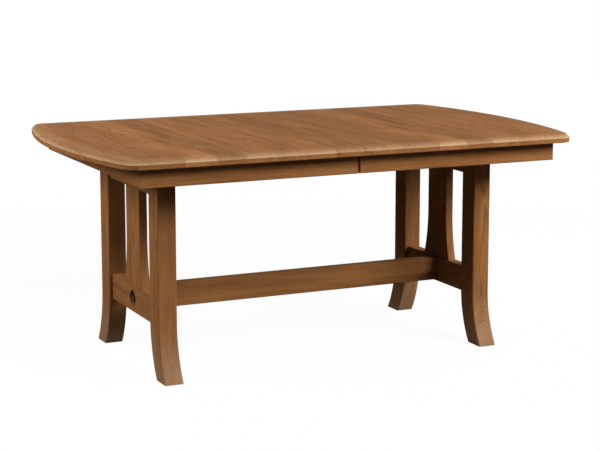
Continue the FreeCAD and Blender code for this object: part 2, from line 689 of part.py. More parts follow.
def make_pinion(label, y):
    """A spur pinion with involute teeth, one of them towards each rack at rest."""
    base_radius = pitch_radius.value * math.cos(PRESSURE_ANGLE)
    root_radius = pitch_radius.value - s.gear_module.value * DEDENDUM_SHARE
    thickness = pitch.value / 2 - s.tooth_backlash.value / 2
    half_angle = thickness / (2 * pitch_radius.value) + involute(PRESSURE_ANGLE)

    def flank(radius, turn, tooth):
        """A point on a tooth's flank at a radius."""
        contact = math.acos(min(base_radius / radius, 1.0))
        angle = tooth + turn * (half_angle - involute(contact))
        return Vector(radius * math.cos(angle), radius * math.sin(angle), 0)

    middle_radius = (base_radius + tip_radius.value) / 2
    step = 2 * math.pi / PINION_TEETH
    edges = []
    for number in range(PINION_TEETH):
        tooth = math.pi / 2 + number * step
        rise = [flank(radius, -1, tooth) for radius in (base_radius, middle_radius, tip_radius.value)]
        fall = [flank(radius, 1, tooth) for radius in (tip_radius.value, middle_radius, base_radius)]
        feet = [Vector(point).normalize() * root_radius for point in (rise[0], fall[2])]
        crest = Vector(math.cos(tooth), math.sin(tooth), 0) * tip_radius.value
        following = flank(base_radius, -1, tooth + step).normalize() * root_radius
        valley_angle = tooth + step / 2
        valley = Vector(math.cos(valley_angle), math.sin(valley_angle), 0) * root_radius
        edges += [
            Part.LineSegment(feet[0], rise[0]).toShape(),
            Part.Arc(*rise).toShape(),
            Part.Arc(rise[2], crest, fall[0]).toShape(),
            Part.Arc(*fall).toShape(),
            Part.LineSegment(fall[2], feet[1]).toShape(),
            Part.Arc(feet[1], valley, following).toShape(),
        ]
    toothed = Part.Face(Part.Wire(edges)).extrude(Vector(0, 0, s.pinion_thickness.value))
    bore = Part.makeCylinder(s.axle_diameter.value / 2 + s.axle_gap.value, s.pinion_thickness.value)
    feature = doc.addObject("Part::Feature", label)
    feature.Label = label
    feature.Shape = toothed.cut(bore)
    level = rack_bottom + s.pinion_gap
    feature.Placement = Placement(Vector(0, y.value, level.value), Rotation())
    return feature


def make_pinion_axles():
    """The shouldered axles that carry the pinions in the fixed runners."""
    body = new_body("pinion_axles")
    for upwards, diameter, length in (
        (False, s.axle_head_diameter, s.axle_head_height),
        (True, s.axle_diameter, rack_top + s.axle_grip - base_top),
    ):
        rounds = sketch_on(body, "XY_Plane", base_top)
        for y in (-s.slide_offset, s.slide_offset):
            circle(rounds, 0, y, diameter)
        pad(body, rounds, length, turned=not upwards)
    return body


def make_screws(label, places, head_level, bite, upwards, turned=False):
    """Screws as one group: heads at one level, shanks running up or down from them."""
    body = new_body(label, turned=turned)
    heads = sketch_on(body, "XY_Plane", head_level)
    shanks = sketch_on(body, "XY_Plane", head_level)
    for x, y in places:
        circle(heads, x, y, s.screw_head_diameter)
        circle(shanks, x, y, s.screw_diameter)
    pad(body, heads, s.screw_head_height, turned=upwards)
    pad(body, shanks, bite, turned=not upwards)
    return body


def runner_screw_places():
    """Where a half's two side runners are screwed up into the top."""
    rows = (-s.slide_offset - screw_line, s.slide_offset - screw_line)
    return [(runner_end * share, row) for row in rows for share in RUNNER_SCREW_SHARES]


def cleat_strips():
    """The three cleats of a half as (left, right, low, high) in plan."""
    inner_end = apron_end_back - s.cleat_corner_gap
    inner_side = apron_back - s.cleat_corner_gap
    return [
        (s.cleat_setback, inner_end, -apron_back, -apron_back + s.cleat_size),
        (s.cleat_setback, inner_end, apron_back - s.cleat_size, apron_back),
        (apron_end_back - s.cleat_size, apron_end_back, -inner_side, inner_side),
    ]


def make_top(label, turned, hole_diameter, hole_depth):
    """Half of the top: bowed end, round corners, rounded edge, holes along the seam."""
    half = s.top_width / 2
    end_radius = (half * half + s.end_bow * s.end_bow) / (s.end_bow * 2)
    end_centre = s.top_length / 2 - end_radius
    corner_y = half - s.corner_radius
    inner = end_radius - s.corner_radius
    corner_x = end_centre + root(inner * inner - corner_y * corner_y)
    meet_x = end_centre + (corner_x - end_centre) * end_radius / inner
    meet_y = corner_y * end_radius / inner
    body = new_body(label, turned=turned)
    plan = sketch_on(body, "XY_Plane", under_top)
    front_corners = [(0, -half), (corner_x, -half), (meet_x, -meet_y)]
    rear_corners = [(meet_x, meet_y), (corner_x, half), (0, half)]
    arcs = {1: (s.corner_radius, 1), 2: (end_radius, 1), 3: (s.corner_radius, 1)}
    outline(plan, front_corners + rear_corners, arcs)
    pad(body, plan, s.top_thickness)
    dress("Chamfer", body, s.seam_ease,
          lambda edge: lies_at(edge, X_AXIS, ZERO) and lies_at(edge, Z_AXIS, s.table_height))
    dress("Chamfer", body, s.edge_bevel,
          lambda edge: lies_at(edge, Z_AXIS, s.table_height) and not lies_at(edge, X_AXIS, s.seam_ease))
    dress("Fillet", body, s.edge_ease,
          lambda edge: lies_at(edge, Z_AXIS, under_top) and not lies_at(edge, X_AXIS, ZERO))
    holes = sketch_on(body, "XY_Plane", under_top)
    for x, y in runner_screw_places():
        circle(holes, x, y, s.screw_diameter + s.screw_gap * 2)
    pocket(body, holes, s.screw_bite + s.screw_tip_gap, turned=True)
    seam = sketch_on(body, "YZ_Plane")
    for share in PIN_SHARES:
        circle(seam, s.top_width * share, pin_level, hole_diameter)
    pocket(body, seam, hole_depth, turned=True)
    return body


def make_side_apron(label, front, turned):
    """The apron board along one side of a half, mitred at the corner."""
    body = new_body(label, turned=turned)
    plan = sketch_on(body, "XY_Plane", apron_bottom)
    start = s.apron_seam_gap
    if front:
        face = -apron_face
        corners = [(start, face), (apron_end, face), (apron_end_back, -apron_back), (start, -apron_back)]
    else:
        face = apron_face
        corners = [(start, apron_back), (apron_end_back, apron_back), (apron_end, face), (start, face)]
    outline(plan, corners)
    pad(body, plan, s.apron_height)
    dress("Chamfer", body, s.apron_seam_ease,
          lambda edge: (runs_along(edge, Z_AXIS) and lies_at(edge, X_AXIS, start)
                        and lies_at(edge, Y_AXIS, face)))
    dress("Fillet", body, s.apron_ease,
          lambda edge: runs_along(edge, X_AXIS) and lies_at(edge, Z_AXIS, apron_bottom))
    return body


def make_end_apron(label, turned):
    """The apron board across the end of a half, mitred at both corners."""
    body = new_body(label, turned=turned)
    plan = sketch_on(body, "XY_Plane", apron_bottom)
    outer, inner = apron_face, apron_back
    corners = [(apron_end, -outer), (apron_end, outer), (apron_end_back, inner), (apron_end_back, -inner)]
    outline(plan, corners)
    pad(body, plan, s.apron_height)
    dress("Fillet", body, s.apron_ease,
          lambda edge: runs_along(edge, Y_AXIS) and lies_at(edge, Z_AXIS, apron_bottom))
    return body


def make_corner_blocks(label, turned):
    """The two three-cornered blocks glued inside a half's apron."""
    body = new_body(label, turned=turned)
    plan = sketch_on(body, "XY_Plane", apron_bottom + s.block_lift)
    back = apron_end_back - s.block_leg
    side = apron_back - s.block_leg
    outline(plan, [(back, -apron_back), (apron_end_back, -apron_back), (apron_end_back, -side)])
    outline(plan, [(back, apron_back), (apron_end_back, side), (apron_end_back, apron_back)])
    pad(body, plan, s.block_height)
    return body


def make_cleats(label, turned):
    """The three cleats that hold a half's apron to its top."""
    body = new_body(label, turned=turned)
    plan = sketch_on(body, "XY_Plane", under_top)
    for strip in cleat_strips():
        rectangle(plan, *strip)
    pad(body, plan, s.cleat_size, turned=True)
    return body


def make_seam_rounds(label, diameter, start, length, bore=None):
    """Round pins or sleeves along the seam, from a place along X over a length."""
    body = new_body(label)
    face = sketch_on(body, "YZ_Plane", start)
    for share in PIN_SHARES:
        circle(face, s.top_width * share, pin_level, diameter)
        if bore is not None:
            circle(face, s.top_width * share, pin_level, bore)
    pad(body, face, length)
    return body


def make_lock_plates():
    """The plates under the right half that carry the levers' pivots."""
    body = new_body("lock_plates")
    plan = sketch_on(body, "XY_Plane", under_top)
    half_x = s.lock_plate_length / 2
    half_y = s.lock_plate_width / 2
    for y in (-lock_y, lock_y):
        rectangle(plan, s.lock_reach - half_x, s.lock_reach + half_x, y - half_y, y + half_y)
    pad(body, plan, s.lock_plate_thickness, turned=True)
    return body


def lock_posts(body, x, level):
    """A headed post below a level, one at each lock."""
    post_end = lever_bottom - s.lever_gap
    for start, diameter, length in (
        (level, s.lock_post_diameter, level - post_end),
        (post_end, s.lock_head_diameter, s.lock_head_thickness),
    ):
        rounds = sketch_on(body, "XY_Plane", start)
        for y in (-lock_y, lock_y):
            circle(rounds, x, y, diameter)
        pad(body, rounds, length, turned=True)


def make_lock_pivots():
    """The headed pivots that the levers turn on."""
    body = new_body("lock_pivots")
    lock_posts(body, s.lock_reach, plate_bottom)
    return body


def make_lock_keepers():
    """The keeper posts under the left half, each on its square plate."""
    body = new_body("lock_keepers")
    plan = sketch_on(body, "XY_Plane", under_top)
    half = s.keeper_plate_side / 2
    for y in (-lock_y, lock_y):
        rectangle(plan, -s.lock_reach - half, -s.lock_reach + half, y - half, y + half)
    pad(body, plan, s.lock_plate_thickness, turned=True)
    lock_posts(body, -s.lock_reach, plate_bottom)
    return body


def make_lock_lever(label, side):
    """A lever that points inwards when open; its hook meets the keeper after a quarter turn."""
    body = new_body(label, s.lock_reach, lock_y * side)
    inward = -side
    lead = s.lever_half_width
    back = s.lever_back_width
    grip = s.lever_half_width
    keeper = s.lock_reach * 2
    notch = s.lock_post_diameter / 2 + s.notch_gap
    end = keeper + s.lever_tip
    plan = sketch_on(body, "XY_Plane", lever_top)
    corners = [
        (-lead, -(s.lever_tail * inward)),
        (-lead, (keeper - notch) * inward),
        (ZERO, (keeper - notch) * inward),
        (ZERO, (keeper + notch) * inward),
        (-lead, (keeper + notch) * inward),
        (-lead, end * inward),
        (back, end * inward),
        (back, (keeper - back) * inward),
        (grip, (keeper - back * 2) * inward),
        (grip, -(s.lever_tail * inward)),
    ]
    outline(plan, corners, {2: (notch, inward)})
    pad(body, plan, s.lever_thickness, turned=True)
    hub = sketch_on(body, "XY_Plane", lever_top)
    circle(hub, 0, 0, s.lever_hub_diameter)
    pad(body, hub, s.lever_thickness, turned=True)
    tab = sketch_on(body, "XY_Plane", lever_bottom)
    tail = s.lever_tail * side
    rectangle(tab, -lead, grip, tail, tail - s.lever_thickness * side)
    pad(body, tab, s.tab_height, turned=True)
    pivot = sketch_on(body, "XY_Plane", lever_top)
    circle(pivot, 0, 0, s.lock_post_diameter + s.axle_gap * 2)
    pocket(body, pivot, s.lever_thickness)
    return body


nodes = []
for end_name, x_sign in (("left", -1), ("right", 1)):
    x = trestle_x * x_sign
    turned = x_sign < 0
    nodes.append(make_leg(f"leg_front_{end_name}", x, front=True))
    nodes.append(make_leg(f"leg_rear_{end_name}", x, front=False))
    nodes.append(make_upper_rail(f"upper_rail_{end_name}", x, turned))
    nodes.append(make_lower_rail(f"lower_rail_{end_name}", x, turned))
    nodes.append(make_splat(f"splat_{end_name}", x, turned))
nodes.append(make_stretcher())
nodes.append(make_stretcher_bolts())
nodes.append(make_stretcher_washers())
nodes.append(make_barrel_nuts())

for slide_name, y in (("front", -s.slide_offset), ("rear", s.slide_offset)):
    nodes.append(make_fixed_runner(f"fixed_runner_{slide_name}", y))
    nodes.append(make_pinion(f"pinion_{slide_name}", y))
    for half_name, turned in (("right", False), ("left", True)):
        nodes.append(make_side_runner(f"side_runner_{slide_name}_{half_name}", y, turned))
        nodes.append(make_rack(f"rack_{slide_name}_{half_name}", y, turned))
nodes.append(make_pinion_axles())
fixed_places = [(x, y) for x in (-trestle_x, trestle_x) for y in (-s.slide_offset, s.slide_offset)]
fixed_head = base_top + s.rail_grip
nodes.append(make_screws("fixed_runner_screws", fixed_places, fixed_head,
                         s.rail_grip + s.screw_bite, upwards=False))

pin_hole = s.pin_diameter + s.screw_gap * 2
sleeve_hole = sleeve_diameter + s.screw_gap * 2
for half_name, turned in (("right", False), ("left", True)):
    hole = sleeve_hole if turned else pin_hole
    depth = sleeve_length if turned else s.pin_bite
    nodes.append(make_top(f"top_{half_name}", turned, hole, depth))
    near, far = ("rear", "front") if turned else ("front", "rear")
    nodes.append(make_side_apron(f"apron_{near}_{half_name}", True, turned))
    nodes.append(make_side_apron(f"apron_{far}_{half_name}", False, turned))
    nodes.append(make_end_apron(f"apron_end_{half_name}", turned))
    nodes.append(make_corner_blocks(f"corner_blocks_{half_name}", turned))
    nodes.append(make_cleats(f"cleats_{half_name}", turned))
    nodes.append(make_screws(f"runner_screws_{half_name}", runner_screw_places(), under_top - s.runner_grip,
                             s.runner_grip + s.screw_bite, upwards=True, turned=turned))
nodes.append(make_seam_rounds("alignment_pins", s.pin_diameter, s.pin_bite - s.pin_length, s.pin_length))
nodes.append(make_seam_rounds("pin_bushings", sleeve_diameter, -sleeve_length, sleeve_length, sleeve_bore))
nodes.append(make_lock_plates())
nodes.append(make_lock_pivots())
nodes.append(make_lock_keepers())
nodes.append(make_lock_lever("lock_lever_front", -1))
nodes.append(make_lock_lever("lock_lever_rear", 1))

doc.recompute()
for item in doc.Objects:
    if "Invalid" in item.State or "Error" in item.State:
        raise RuntimeError(f"{item.Label} failed: {item.State}")
    if item.TypeId == "PartDesign::Pocket" and item.Shape.Volume >= item.BaseFeature.Shape.Volume:
        raise RuntimeError(f"{item.Label} cuts nothing")
os.makedirs("parts", exist_ok=True)
for node in nodes:
    if node.Shape.isNull() or not node.Shape.isValid():
        raise RuntimeError(f"{node.Label} has no valid shape")
for node in nodes:
    node.Shape.exportStep(f"parts/{node.Label}.step")
print(len(nodes), "nodes")
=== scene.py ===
"""Extending trestle dining table: finishes, small fasteners, floor, light and camera round the model."""

import logging
import math
from dataclasses import dataclass
from enum import Enum
from typing import Optional, Sequence, Union

import bpy
import numpy as np
from mathutils import Matrix, Vector


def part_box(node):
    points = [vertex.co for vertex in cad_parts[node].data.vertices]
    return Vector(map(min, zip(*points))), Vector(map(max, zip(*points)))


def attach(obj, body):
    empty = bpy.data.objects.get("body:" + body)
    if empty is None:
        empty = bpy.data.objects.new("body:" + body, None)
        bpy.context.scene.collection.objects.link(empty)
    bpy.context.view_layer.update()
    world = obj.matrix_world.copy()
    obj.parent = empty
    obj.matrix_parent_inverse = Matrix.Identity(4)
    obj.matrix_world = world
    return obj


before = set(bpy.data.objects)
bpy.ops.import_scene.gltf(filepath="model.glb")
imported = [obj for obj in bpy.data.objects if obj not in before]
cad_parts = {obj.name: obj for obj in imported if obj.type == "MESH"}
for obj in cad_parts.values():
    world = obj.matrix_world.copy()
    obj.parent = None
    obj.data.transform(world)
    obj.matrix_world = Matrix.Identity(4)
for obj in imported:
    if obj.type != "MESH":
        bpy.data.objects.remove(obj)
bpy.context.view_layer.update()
LOG = logging.getLogger("trestle_table")

Pair = tuple[float, float]
Point = tuple[float, float, float]
Colour = tuple[float, float, float]
Socket = bpy.types.NodeSocket
Value = Union[Socket, float, Sequence[float]]

WHITE: Colour = (1.0, 1.0, 1.0)
BUMP_STRENGTH = 0.6
SIDES = ("front", "rear")
ENDS = ("left", "right")

# Steps that never come back to the same turn or share, so that like pieces all differ
GOLDEN_ANGLE = math.pi * (3 - math.sqrt(5))
GOLDEN_SHARE = (math.sqrt(5) - 1) / 2


class Grain(Enum):
    """The table's direction along which a piece's fibres run."""

    ALONG = "x"
    ACROSS = "y"
    UPRIGHT = "z"

    @property
    def turn(self) -> Point:
        """Angles that bring the fibres on to the pattern's third axis."""
        quarter = math.pi / 2
        return {"x": (0.0, -quarter, 0.0), "y": (quarter, 0.0, 0.0), "z": (0.0, 0.0, 0.0)}[self.value]

    def beside(self, aside: float, above: float) -> Vector:
        """The way from a piece's middle to a point beside it, square to its fibres."""
        ways = {"x": (0.0, aside, above), "y": (aside, 0.0, above), "z": (aside, above, 0.0)}
        return Vector(ways[self.value])


class Half(Enum):
    """A half of the table's top, with the side of the seam that it lies on."""

    RIGHT = 1.0
    LEFT = -1.0

    @property
    def word(self) -> str:
        """The half's word in the names of its pieces."""
        return self.name.lower()

    @property
    def body(self) -> str:
        """The body that the half's pieces move with."""
        return f"top_{self.word}"


class Graph:
    """Short calls that fill a node tree."""

    def __init__(self, tree: bpy.types.NodeTree) -> None:
        """Keep the tree that the calls fill, of a material, a world or a group."""
        self.tree = tree

    def feed(self, value: Value, socket: Socket) -> None:
        """Join a socket to another one, or set its value.

        Args:
            value: An output socket, a number, a vector or a plain colour, which is made opaque.
            socket: The input that takes it.
        """
        if isinstance(value, bpy.types.NodeSocket):
            self.tree.links.new(value, socket)
        elif socket.type == "RGBA":
            socket.default_value = (*value, 1.0)
        else:
            socket.default_value = value

    def add(self, kind: str, inputs: dict[str, Value], **settings: object) -> bpy.types.Node:
        """Add a node.

        Args:
            kind: The node's type.
            inputs: Values or sockets for its inputs, by name.
            **settings: Its properties.

        Returns:
            The new node.
        """
        node = self.tree.nodes.new(kind)
        for name, setting in settings.items():
            setattr(node, name, setting)
        for name, value in inputs.items():
            self.feed(value, node.inputs[name])
        return node

    def use(self, group: bpy.types.NodeTree, inputs: dict[str, Value]) -> bpy.types.NodeOutputs:
        """Place a node group and give its outputs."""
        return self.add("ShaderNodeGroup", inputs, node_tree=group).outputs

    def close(self, outputs: dict[str, Value]) -> bpy.types.NodeTree:
        """Join a group's results to its outputs and give the group."""
        self.add("NodeGroupOutput", outputs)
        return self.tree

    def work(self, kind: str, operation: str, values: Sequence[Value]) -> bpy.types.Node:
        """Add a node that works out a number or a vector.

        Args:
            kind: The node's type.
            operation: Its operation.
            values: Its inputs in order.

        Returns:
            The new node.
        """
        node = self.add(kind, {}, operation=operation)
        for value, socket in zip(values, node.inputs):
            self.feed(value, socket)
        return node

    def maths(self, operation: str, *values: Value) -> Socket:
        """Work out a number from one, two or three others."""
        return self.work("ShaderNodeMath", operation, values).outputs[0]

    def vectors(self, operation: str, *values: Value) -> Socket:
        """Work out a vector from others."""
        return self.work("ShaderNodeVectorMath", operation, values).outputs["Vector"]

    def length(self, vector: Value) -> Socket:
        """Work out a vector's length."""
        return self.work("ShaderNodeVectorMath", "LENGTH", (vector,)).outputs["Value"]

    def scaled(self, vector: Value, factor: Value) -> Socket:
        """Multiply a vector or a colour by a number.

        Args:
            vector: The vector or the colour.
            factor: The number.

        Returns:
            The product's socket.
        """
        node = self.work("ShaderNodeVectorMath", "SCALE", (vector,))
        self.feed(factor, node.inputs["Scale"])
        return node.outputs["Vector"]

    def stretch(self, vector: Socket, across: float, along: float) -> Socket:
        """Scale a place by one factor across the fibres and by another along them."""
        return self.vectors("MULTIPLY", vector, (across, across, along))

    def noise(
        self, place: Value, detail: float, rough: float = 0.5, scale: float = 1.0
    ) -> bpy.types.NodeOutputs:
        """Add a three-dimensional noise.

        Args:
            place: Where it is read.
            detail: Its finer layers.
            rough: The share that each finer layer keeps.
            scale: Its lumps per unit of the place.

        Returns:
            Its outputs: a plain value first, about one half on average, and three values as Color.
        """
        settings = {"Vector": place, "Scale": scale, "Detail": detail, "Roughness": rough}
        return self.add("ShaderNodeTexNoise", settings).outputs

    def ease(self, value: Value, low: float, high: float, start: float = 0.0, end: float = 1.0) -> Socket:
        """Carry a value smoothly from one level to another between two bounds.

        Args:
            value: What is read.
            low: Where the change starts.
            high: Where it ends.
            start: The level before.
            end: The level after.

        Returns:
            The eased value's socket.
        """
        settings = {"Value": value, "From Min": low, "From Max": high, "To Min": start, "To Max": end}
        return self.add("ShaderNodeMapRange", settings, interpolation_type="SMOOTHSTEP").outputs[0]

    def spread(self, share: Value, low: float, high: float) -> Socket:
        """Carry a share between 0 and 1 straight on to the run from one level to another."""
        return self.maths("MULTIPLY_ADD", share, high - low, low)

    def blend(self, share: Value, first: Value, second: Value) -> Socket:
        """Blend two colours.

        Args:
            share: How much of the second one shows.
            first: The colour below.
            second: The colour above.

        Returns:
            The blended colour's socket.
        """
        node = self.add("ShaderNodeMix", {}, data_type="RGBA")
        for index, value in ((0, share), (6, first), (7, second)):
            self.feed(value, node.inputs[index])
        return node.outputs[2]

    def split(self, vector: Socket) -> tuple[Socket, Socket, Socket]:
        """The three numbers of a vector."""
        node = self.add("ShaderNodeSeparateXYZ", {"Vector": vector})
        return node.outputs[0], node.outputs[1], node.outputs[2]

    def join(self, x: Value, y: Value, z: Value) -> Socket:
        """A vector of three numbers."""
        return self.add("ShaderNodeCombineXYZ", {"X": x, "Y": y, "Z": z}).outputs[0]

    def object_place(self) -> Socket:
        """The place of a surface point on its piece."""
        return self.add("ShaderNodeTexCoord", {}).outputs["Object"]


def empty_tree(owner: Union[bpy.types.Material, bpy.types.World]) -> Graph:
    """Give a material or a world an empty node tree.

    Args:
        owner: The material or the world.

    Returns:
        The tree's graph.
    """
    owner.use_nodes = True
    owner.node_tree.nodes.clear()
    return Graph(owner.node_tree)


def new_group(
    name: str, inputs: dict[str, str], outputs: dict[str, str]
) -> tuple[Graph, bpy.types.NodeOutputs]:
    """Start a shader node group.

    Args:
        name: The group's name.
        inputs: Socket types by name.
        outputs: Socket types by name.

    Returns:
        The group's graph and what it is given, by name.
    """
    tree = bpy.data.node_groups.new(name, "ShaderNodeTree")
    for side, sockets in (("INPUT", inputs), ("OUTPUT", outputs)):
        for label, kind in sockets.items():
            tree.interface.new_socket(label, in_out=side, socket_type=f"NodeSocket{kind}")
    graph = Graph(tree)
    return graph, graph.add("NodeGroupInput", {}).outputs


FINISH_OUTPUTS = {"Color": "Color", "Roughness": "Float", "Height": "Float"}


def make_figure_group() -> bpy.types.NodeTree:
    """The figure of sawn timber in space, for fibres along the third axis.

    The growth rings are circles about the axis, whose middle wanders along the fibres. The ring's number is
    the radius over the spacing, made uneven by noise, and its fraction rises slowly to the late wood and
    falls at once. Streaks, fibres and pores are noise drawn out along the fibres.

    Returns:
        The group, with outputs Ring, Streak, Blotch, Fibre and Pore.
    """
    graph, given = new_group(
        "timber_figure",
        {"Vector": "Vector", "Spacing": "Float", "Wander": "Float"},
        dict.fromkeys(("Ring", "Streak", "Blotch", "Fibre", "Pore"), "Float"),
    )
    ripple_share = 0.12
    uneven_pace, uneven_years = 0.4, 3.0
    late_rise, late_fall = (0.15, 0.9), (0.9, 1.0)
    year_strengths = (0.25, 1.0)
    pore_bounds = (0.63, 0.74)
    half = (0.5, 0.5, 0.5)
    place = given["Vector"]
    slow = graph.noise(graph.stretch(place, across=3.0, along=1.3), detail=1.0)["Color"]
    quick = graph.noise(graph.stretch(place, across=22.0, along=5.0), detail=1.0)["Color"]
    ripple = graph.scaled(graph.vectors("SUBTRACT", quick, half), ripple_share)
    sway = graph.vectors("ADD", graph.vectors("SUBTRACT", slow, half), ripple)
    centred = graph.vectors("ADD", place, graph.scaled(sway, given["Wander"]))
    radius = graph.length(graph.stretch(centred, across=1.0, along=0.0))
    number = graph.maths("DIVIDE", radius, given["Spacing"])
    settings = {"W": graph.maths("MULTIPLY", number, uneven_pace), "Scale": 1.0, "Detail": 2.0}
    uneven = graph.add("ShaderNodeTexNoise", settings, noise_dimensions="1D").outputs[0]
    year = graph.maths("MULTIPLY_ADD", uneven, uneven_years, number)
    part = graph.maths("FRACT", year)
    late = graph.maths("MULTIPLY", graph.ease(part, *late_rise), graph.ease(part, *late_fall, 1.0, 0.0))
    draw = graph.add("ShaderNodeTexWhiteNoise", {"W": graph.maths("FLOOR", year)}, noise_dimensions="1D")
    pore = graph.noise(graph.stretch(place, across=1300.0, along=42.0), detail=1.0)[0]
    return graph.close({
        "Ring": graph.maths("MULTIPLY", late, graph.spread(draw.outputs["Value"], *year_strengths)),
        "Streak": graph.noise(graph.stretch(centred, across=32.0, along=3.4), detail=5.0, rough=0.62)[0],
        "Blotch": graph.noise(graph.stretch(place, across=11.0, along=3.2), detail=3.0, rough=0.55)[0],
        "Fibre": graph.noise(graph.stretch(place, across=520.0, along=9.0), detail=3.0, rough=0.6)[0],
        "Pore": graph.ease(pore, *pore_bounds),
    })


def make_board_group() -> bpy.types.NodeTree:
    """The glued-up boards of a panel, side by side along the first axis.

    The boards are the cells of uneven points on a line. Each has its own tone and its own piece of a tree,
    which is the place counted from the board's middle and moved by the cell's three random numbers.

    Returns:
        The group, with outputs Vector, Tone and Joint.
    """
    graph, given = new_group(
        "panel_boards",
        {"Vector": "Vector", "Width": "Float", "Start": "Float"},
        {"Vector": "Vector", "Tone": "Float", "Joint": "Float"},
    )
    unevenness = 0.6
    pith_aside = 0.055
    pith_depths = (0.02, 0.13)
    tree_length = 9.0
    tone_factor = 3.0
    joint_edge = (0.0002, 0.0009)
    across, deep, along = graph.split(given["Vector"])
    step = graph.maths("ADD", graph.maths("DIVIDE", across, given["Width"]), given["Start"])
    settings = {"W": step, "Scale": 1.0, "Randomness": unevenness}
    cell, edge = (
        graph.add("ShaderNodeTexVoronoi", settings, voronoi_dimensions="1D", feature=feature).outputs
        for feature in ("F1", "DISTANCE_TO_EDGE")
    )
    middle = graph.maths("MULTIPLY", graph.maths("SUBTRACT", cell["W"], given["Start"]), given["Width"])
    first, second, third = graph.split(cell["Color"])
    aside = graph.spread(first, -pith_aside, pith_aside)
    own_place = graph.join(
        graph.maths("ADD", graph.maths("SUBTRACT", across, middle), aside),
        graph.maths("ADD", deep, graph.spread(second, *pith_depths)),
        graph.maths("MULTIPLY_ADD", third, tree_length, along),
    )
    gap = graph.maths("MULTIPLY", edge["Distance"], given["Width"])
    return graph.close({
        "Vector": own_place,
        "Tone": graph.maths("FRACT", graph.maths("MULTIPLY_ADD", first, tone_factor, third)),
        "Joint": graph.ease(gap, *joint_edge, 1.0, 0.0),
    })


def make_stain_group(figure: bpy.types.NodeTree) -> bpy.types.NodeTree:
    """Stained or planed timber: its colour, its gloss and its grain's relief.

    Streaks carry the pale colour to the middle one, rings and dark streaks carry that to the dark one, the
    board's tone lightens or darkens the whole, a painted highlight pales it where a mask says, and pores and
    joints, with the painted shade along the top's seam, are dark marks.

    Args:
        figure: The group that gives the timber's figure.

    Returns:
        The group, with outputs Color, Roughness and Height.
    """
    numbers = ("Spacing", "Wander", "Contrast", "Tone", "Joint", "Rub", "Sheen")
    colours = ("Pale", "Middle", "Dark", "Bare")
    inputs = {"Vector": "Vector", **dict.fromkeys(numbers, "Float"), **dict.fromkeys(colours, "Color")}
    graph, given = new_group("stained_timber", inputs, FINISH_OUTPUTS)
    streak_bounds, band_bounds = (0.32, 0.66), (0.58, 0.74)
    ring_share, band_share, pore_share, joint_share = 0.62, 0.45, 0.42, 0.55
    cloud_levels, hair_levels, tone_levels = (0.82, 1.18), (0.85, 1.15), (0.89, 1.11)
    highlight_levels = (0.55, 1.45)
    fibre_roughness, pore_roughness = (-0.07, 0.07), 0.12
    ring_height, fibre_height, pore_depth = 0.25, 0.5, 0.9
    wood = graph.use(figure, {name: given[name] for name in ("Vector", "Spacing", "Wander")})
    ring, streak, fibre, pore = (wood[name] for name in ("Ring", "Streak", "Fibre", "Pore"))
    colour = graph.blend(graph.ease(streak, *streak_bounds), given["Pale"], given["Middle"])
    rings = graph.maths("MULTIPLY", graph.maths("MULTIPLY", ring, given["Contrast"]), ring_share)
    colour = graph.blend(rings, colour, given["Dark"])
    band_level = graph.maths("MULTIPLY", given["Contrast"], band_share)
    bands = graph.maths("MULTIPLY", graph.ease(streak, *band_bounds), band_level)
    colour = graph.blend(bands, colour, given["Dark"])
    cloud = graph.spread(wood["Blotch"], *cloud_levels)
    shade = graph.maths("MULTIPLY", cloud, graph.spread(fibre, *hair_levels))
    colour = graph.scaled(colour, graph.maths("MULTIPLY", shade, graph.spread(given["Tone"], *tone_levels)))
    # Painted highlight: the colour is paled towards a lighter one where the mask says, in place of the lamps'
    # sheen.
    highlight_share = graph.maths("MULTIPLY", given["Rub"], graph.spread(fibre, *highlight_levels))
    colour = graph.blend(highlight_share, colour, given["Bare"])
    joints = graph.maths("MULTIPLY", given["Joint"], joint_share)
    marks = graph.maths("MAXIMUM", graph.maths("MULTIPLY", pore, pore_share), joints)
    gloss = graph.maths("ADD", given["Sheen"], graph.spread(fibre, *fibre_roughness))
    relief = graph.maths("MULTIPLY_ADD", ring, ring_height, graph.maths("MULTIPLY", fibre, fibre_height))
    dents = graph.maths("MAXIMUM", graph.maths("MULTIPLY", pore, pore_depth), given["Joint"])
    return graph.close({
        "Color": graph.blend(marks, colour, given["Dark"]),
        "Roughness": graph.maths("MULTIPLY_ADD", pore, pore_roughness, gloss),
        "Height": graph.maths("SUBTRACT", relief, dents),
    })


def make_metal_group() -> bpy.types.NodeTree:
    """Plated or blacked steel: small bright and dull flakes, drawn scratches and a bloom.

    Returns:
        The group, with outputs Color, Roughness and Height.
    """
    inputs = {"Vector": "Vector", "Bright": "Color", "Dull": "Color"}
    graph, given = new_group("flaked_steel", inputs, FINISH_OUTPUTS)
    flakes_per_metre = 420.0
    scratch_scale = (140.0, 1900.0, 1900.0)
    bloom_bounds = (0.42, 0.7)
    dull_share = 0.45
    flake_roughness, bloom_roughness = (0.30, 0.42), 0.18
    scratch_height, flake_height = 0.6, 0.4
    place = given["Vector"]
    flakes = graph.add("ShaderNodeTexVoronoi", {"Vector": place, "Scale": flakes_per_metre}, feature="F1")
    flake = graph.split(flakes.outputs["Color"])[0]
    scratch = graph.noise(graph.vectors("MULTIPLY", place, scratch_scale), detail=2.0)[0]
    bloom = graph.ease(graph.noise(place, detail=4.0, rough=0.6, scale=70.0)[0], *bloom_bounds)
    tone = graph.maths("MAXIMUM", bloom, graph.maths("MULTIPLY", flake, dull_share))
    rough = graph.spread(flake, *flake_roughness)
    height = graph.maths("MULTIPLY", flake, flake_height)
    return graph.close({
        "Color": graph.blend(tone, given["Bright"], given["Dull"]),
        "Roughness": graph.maths("MULTIPLY_ADD", bloom, bloom_roughness, rough),
        "Height": graph.maths("MULTIPLY_ADD", scratch, scratch_height, height),
    })


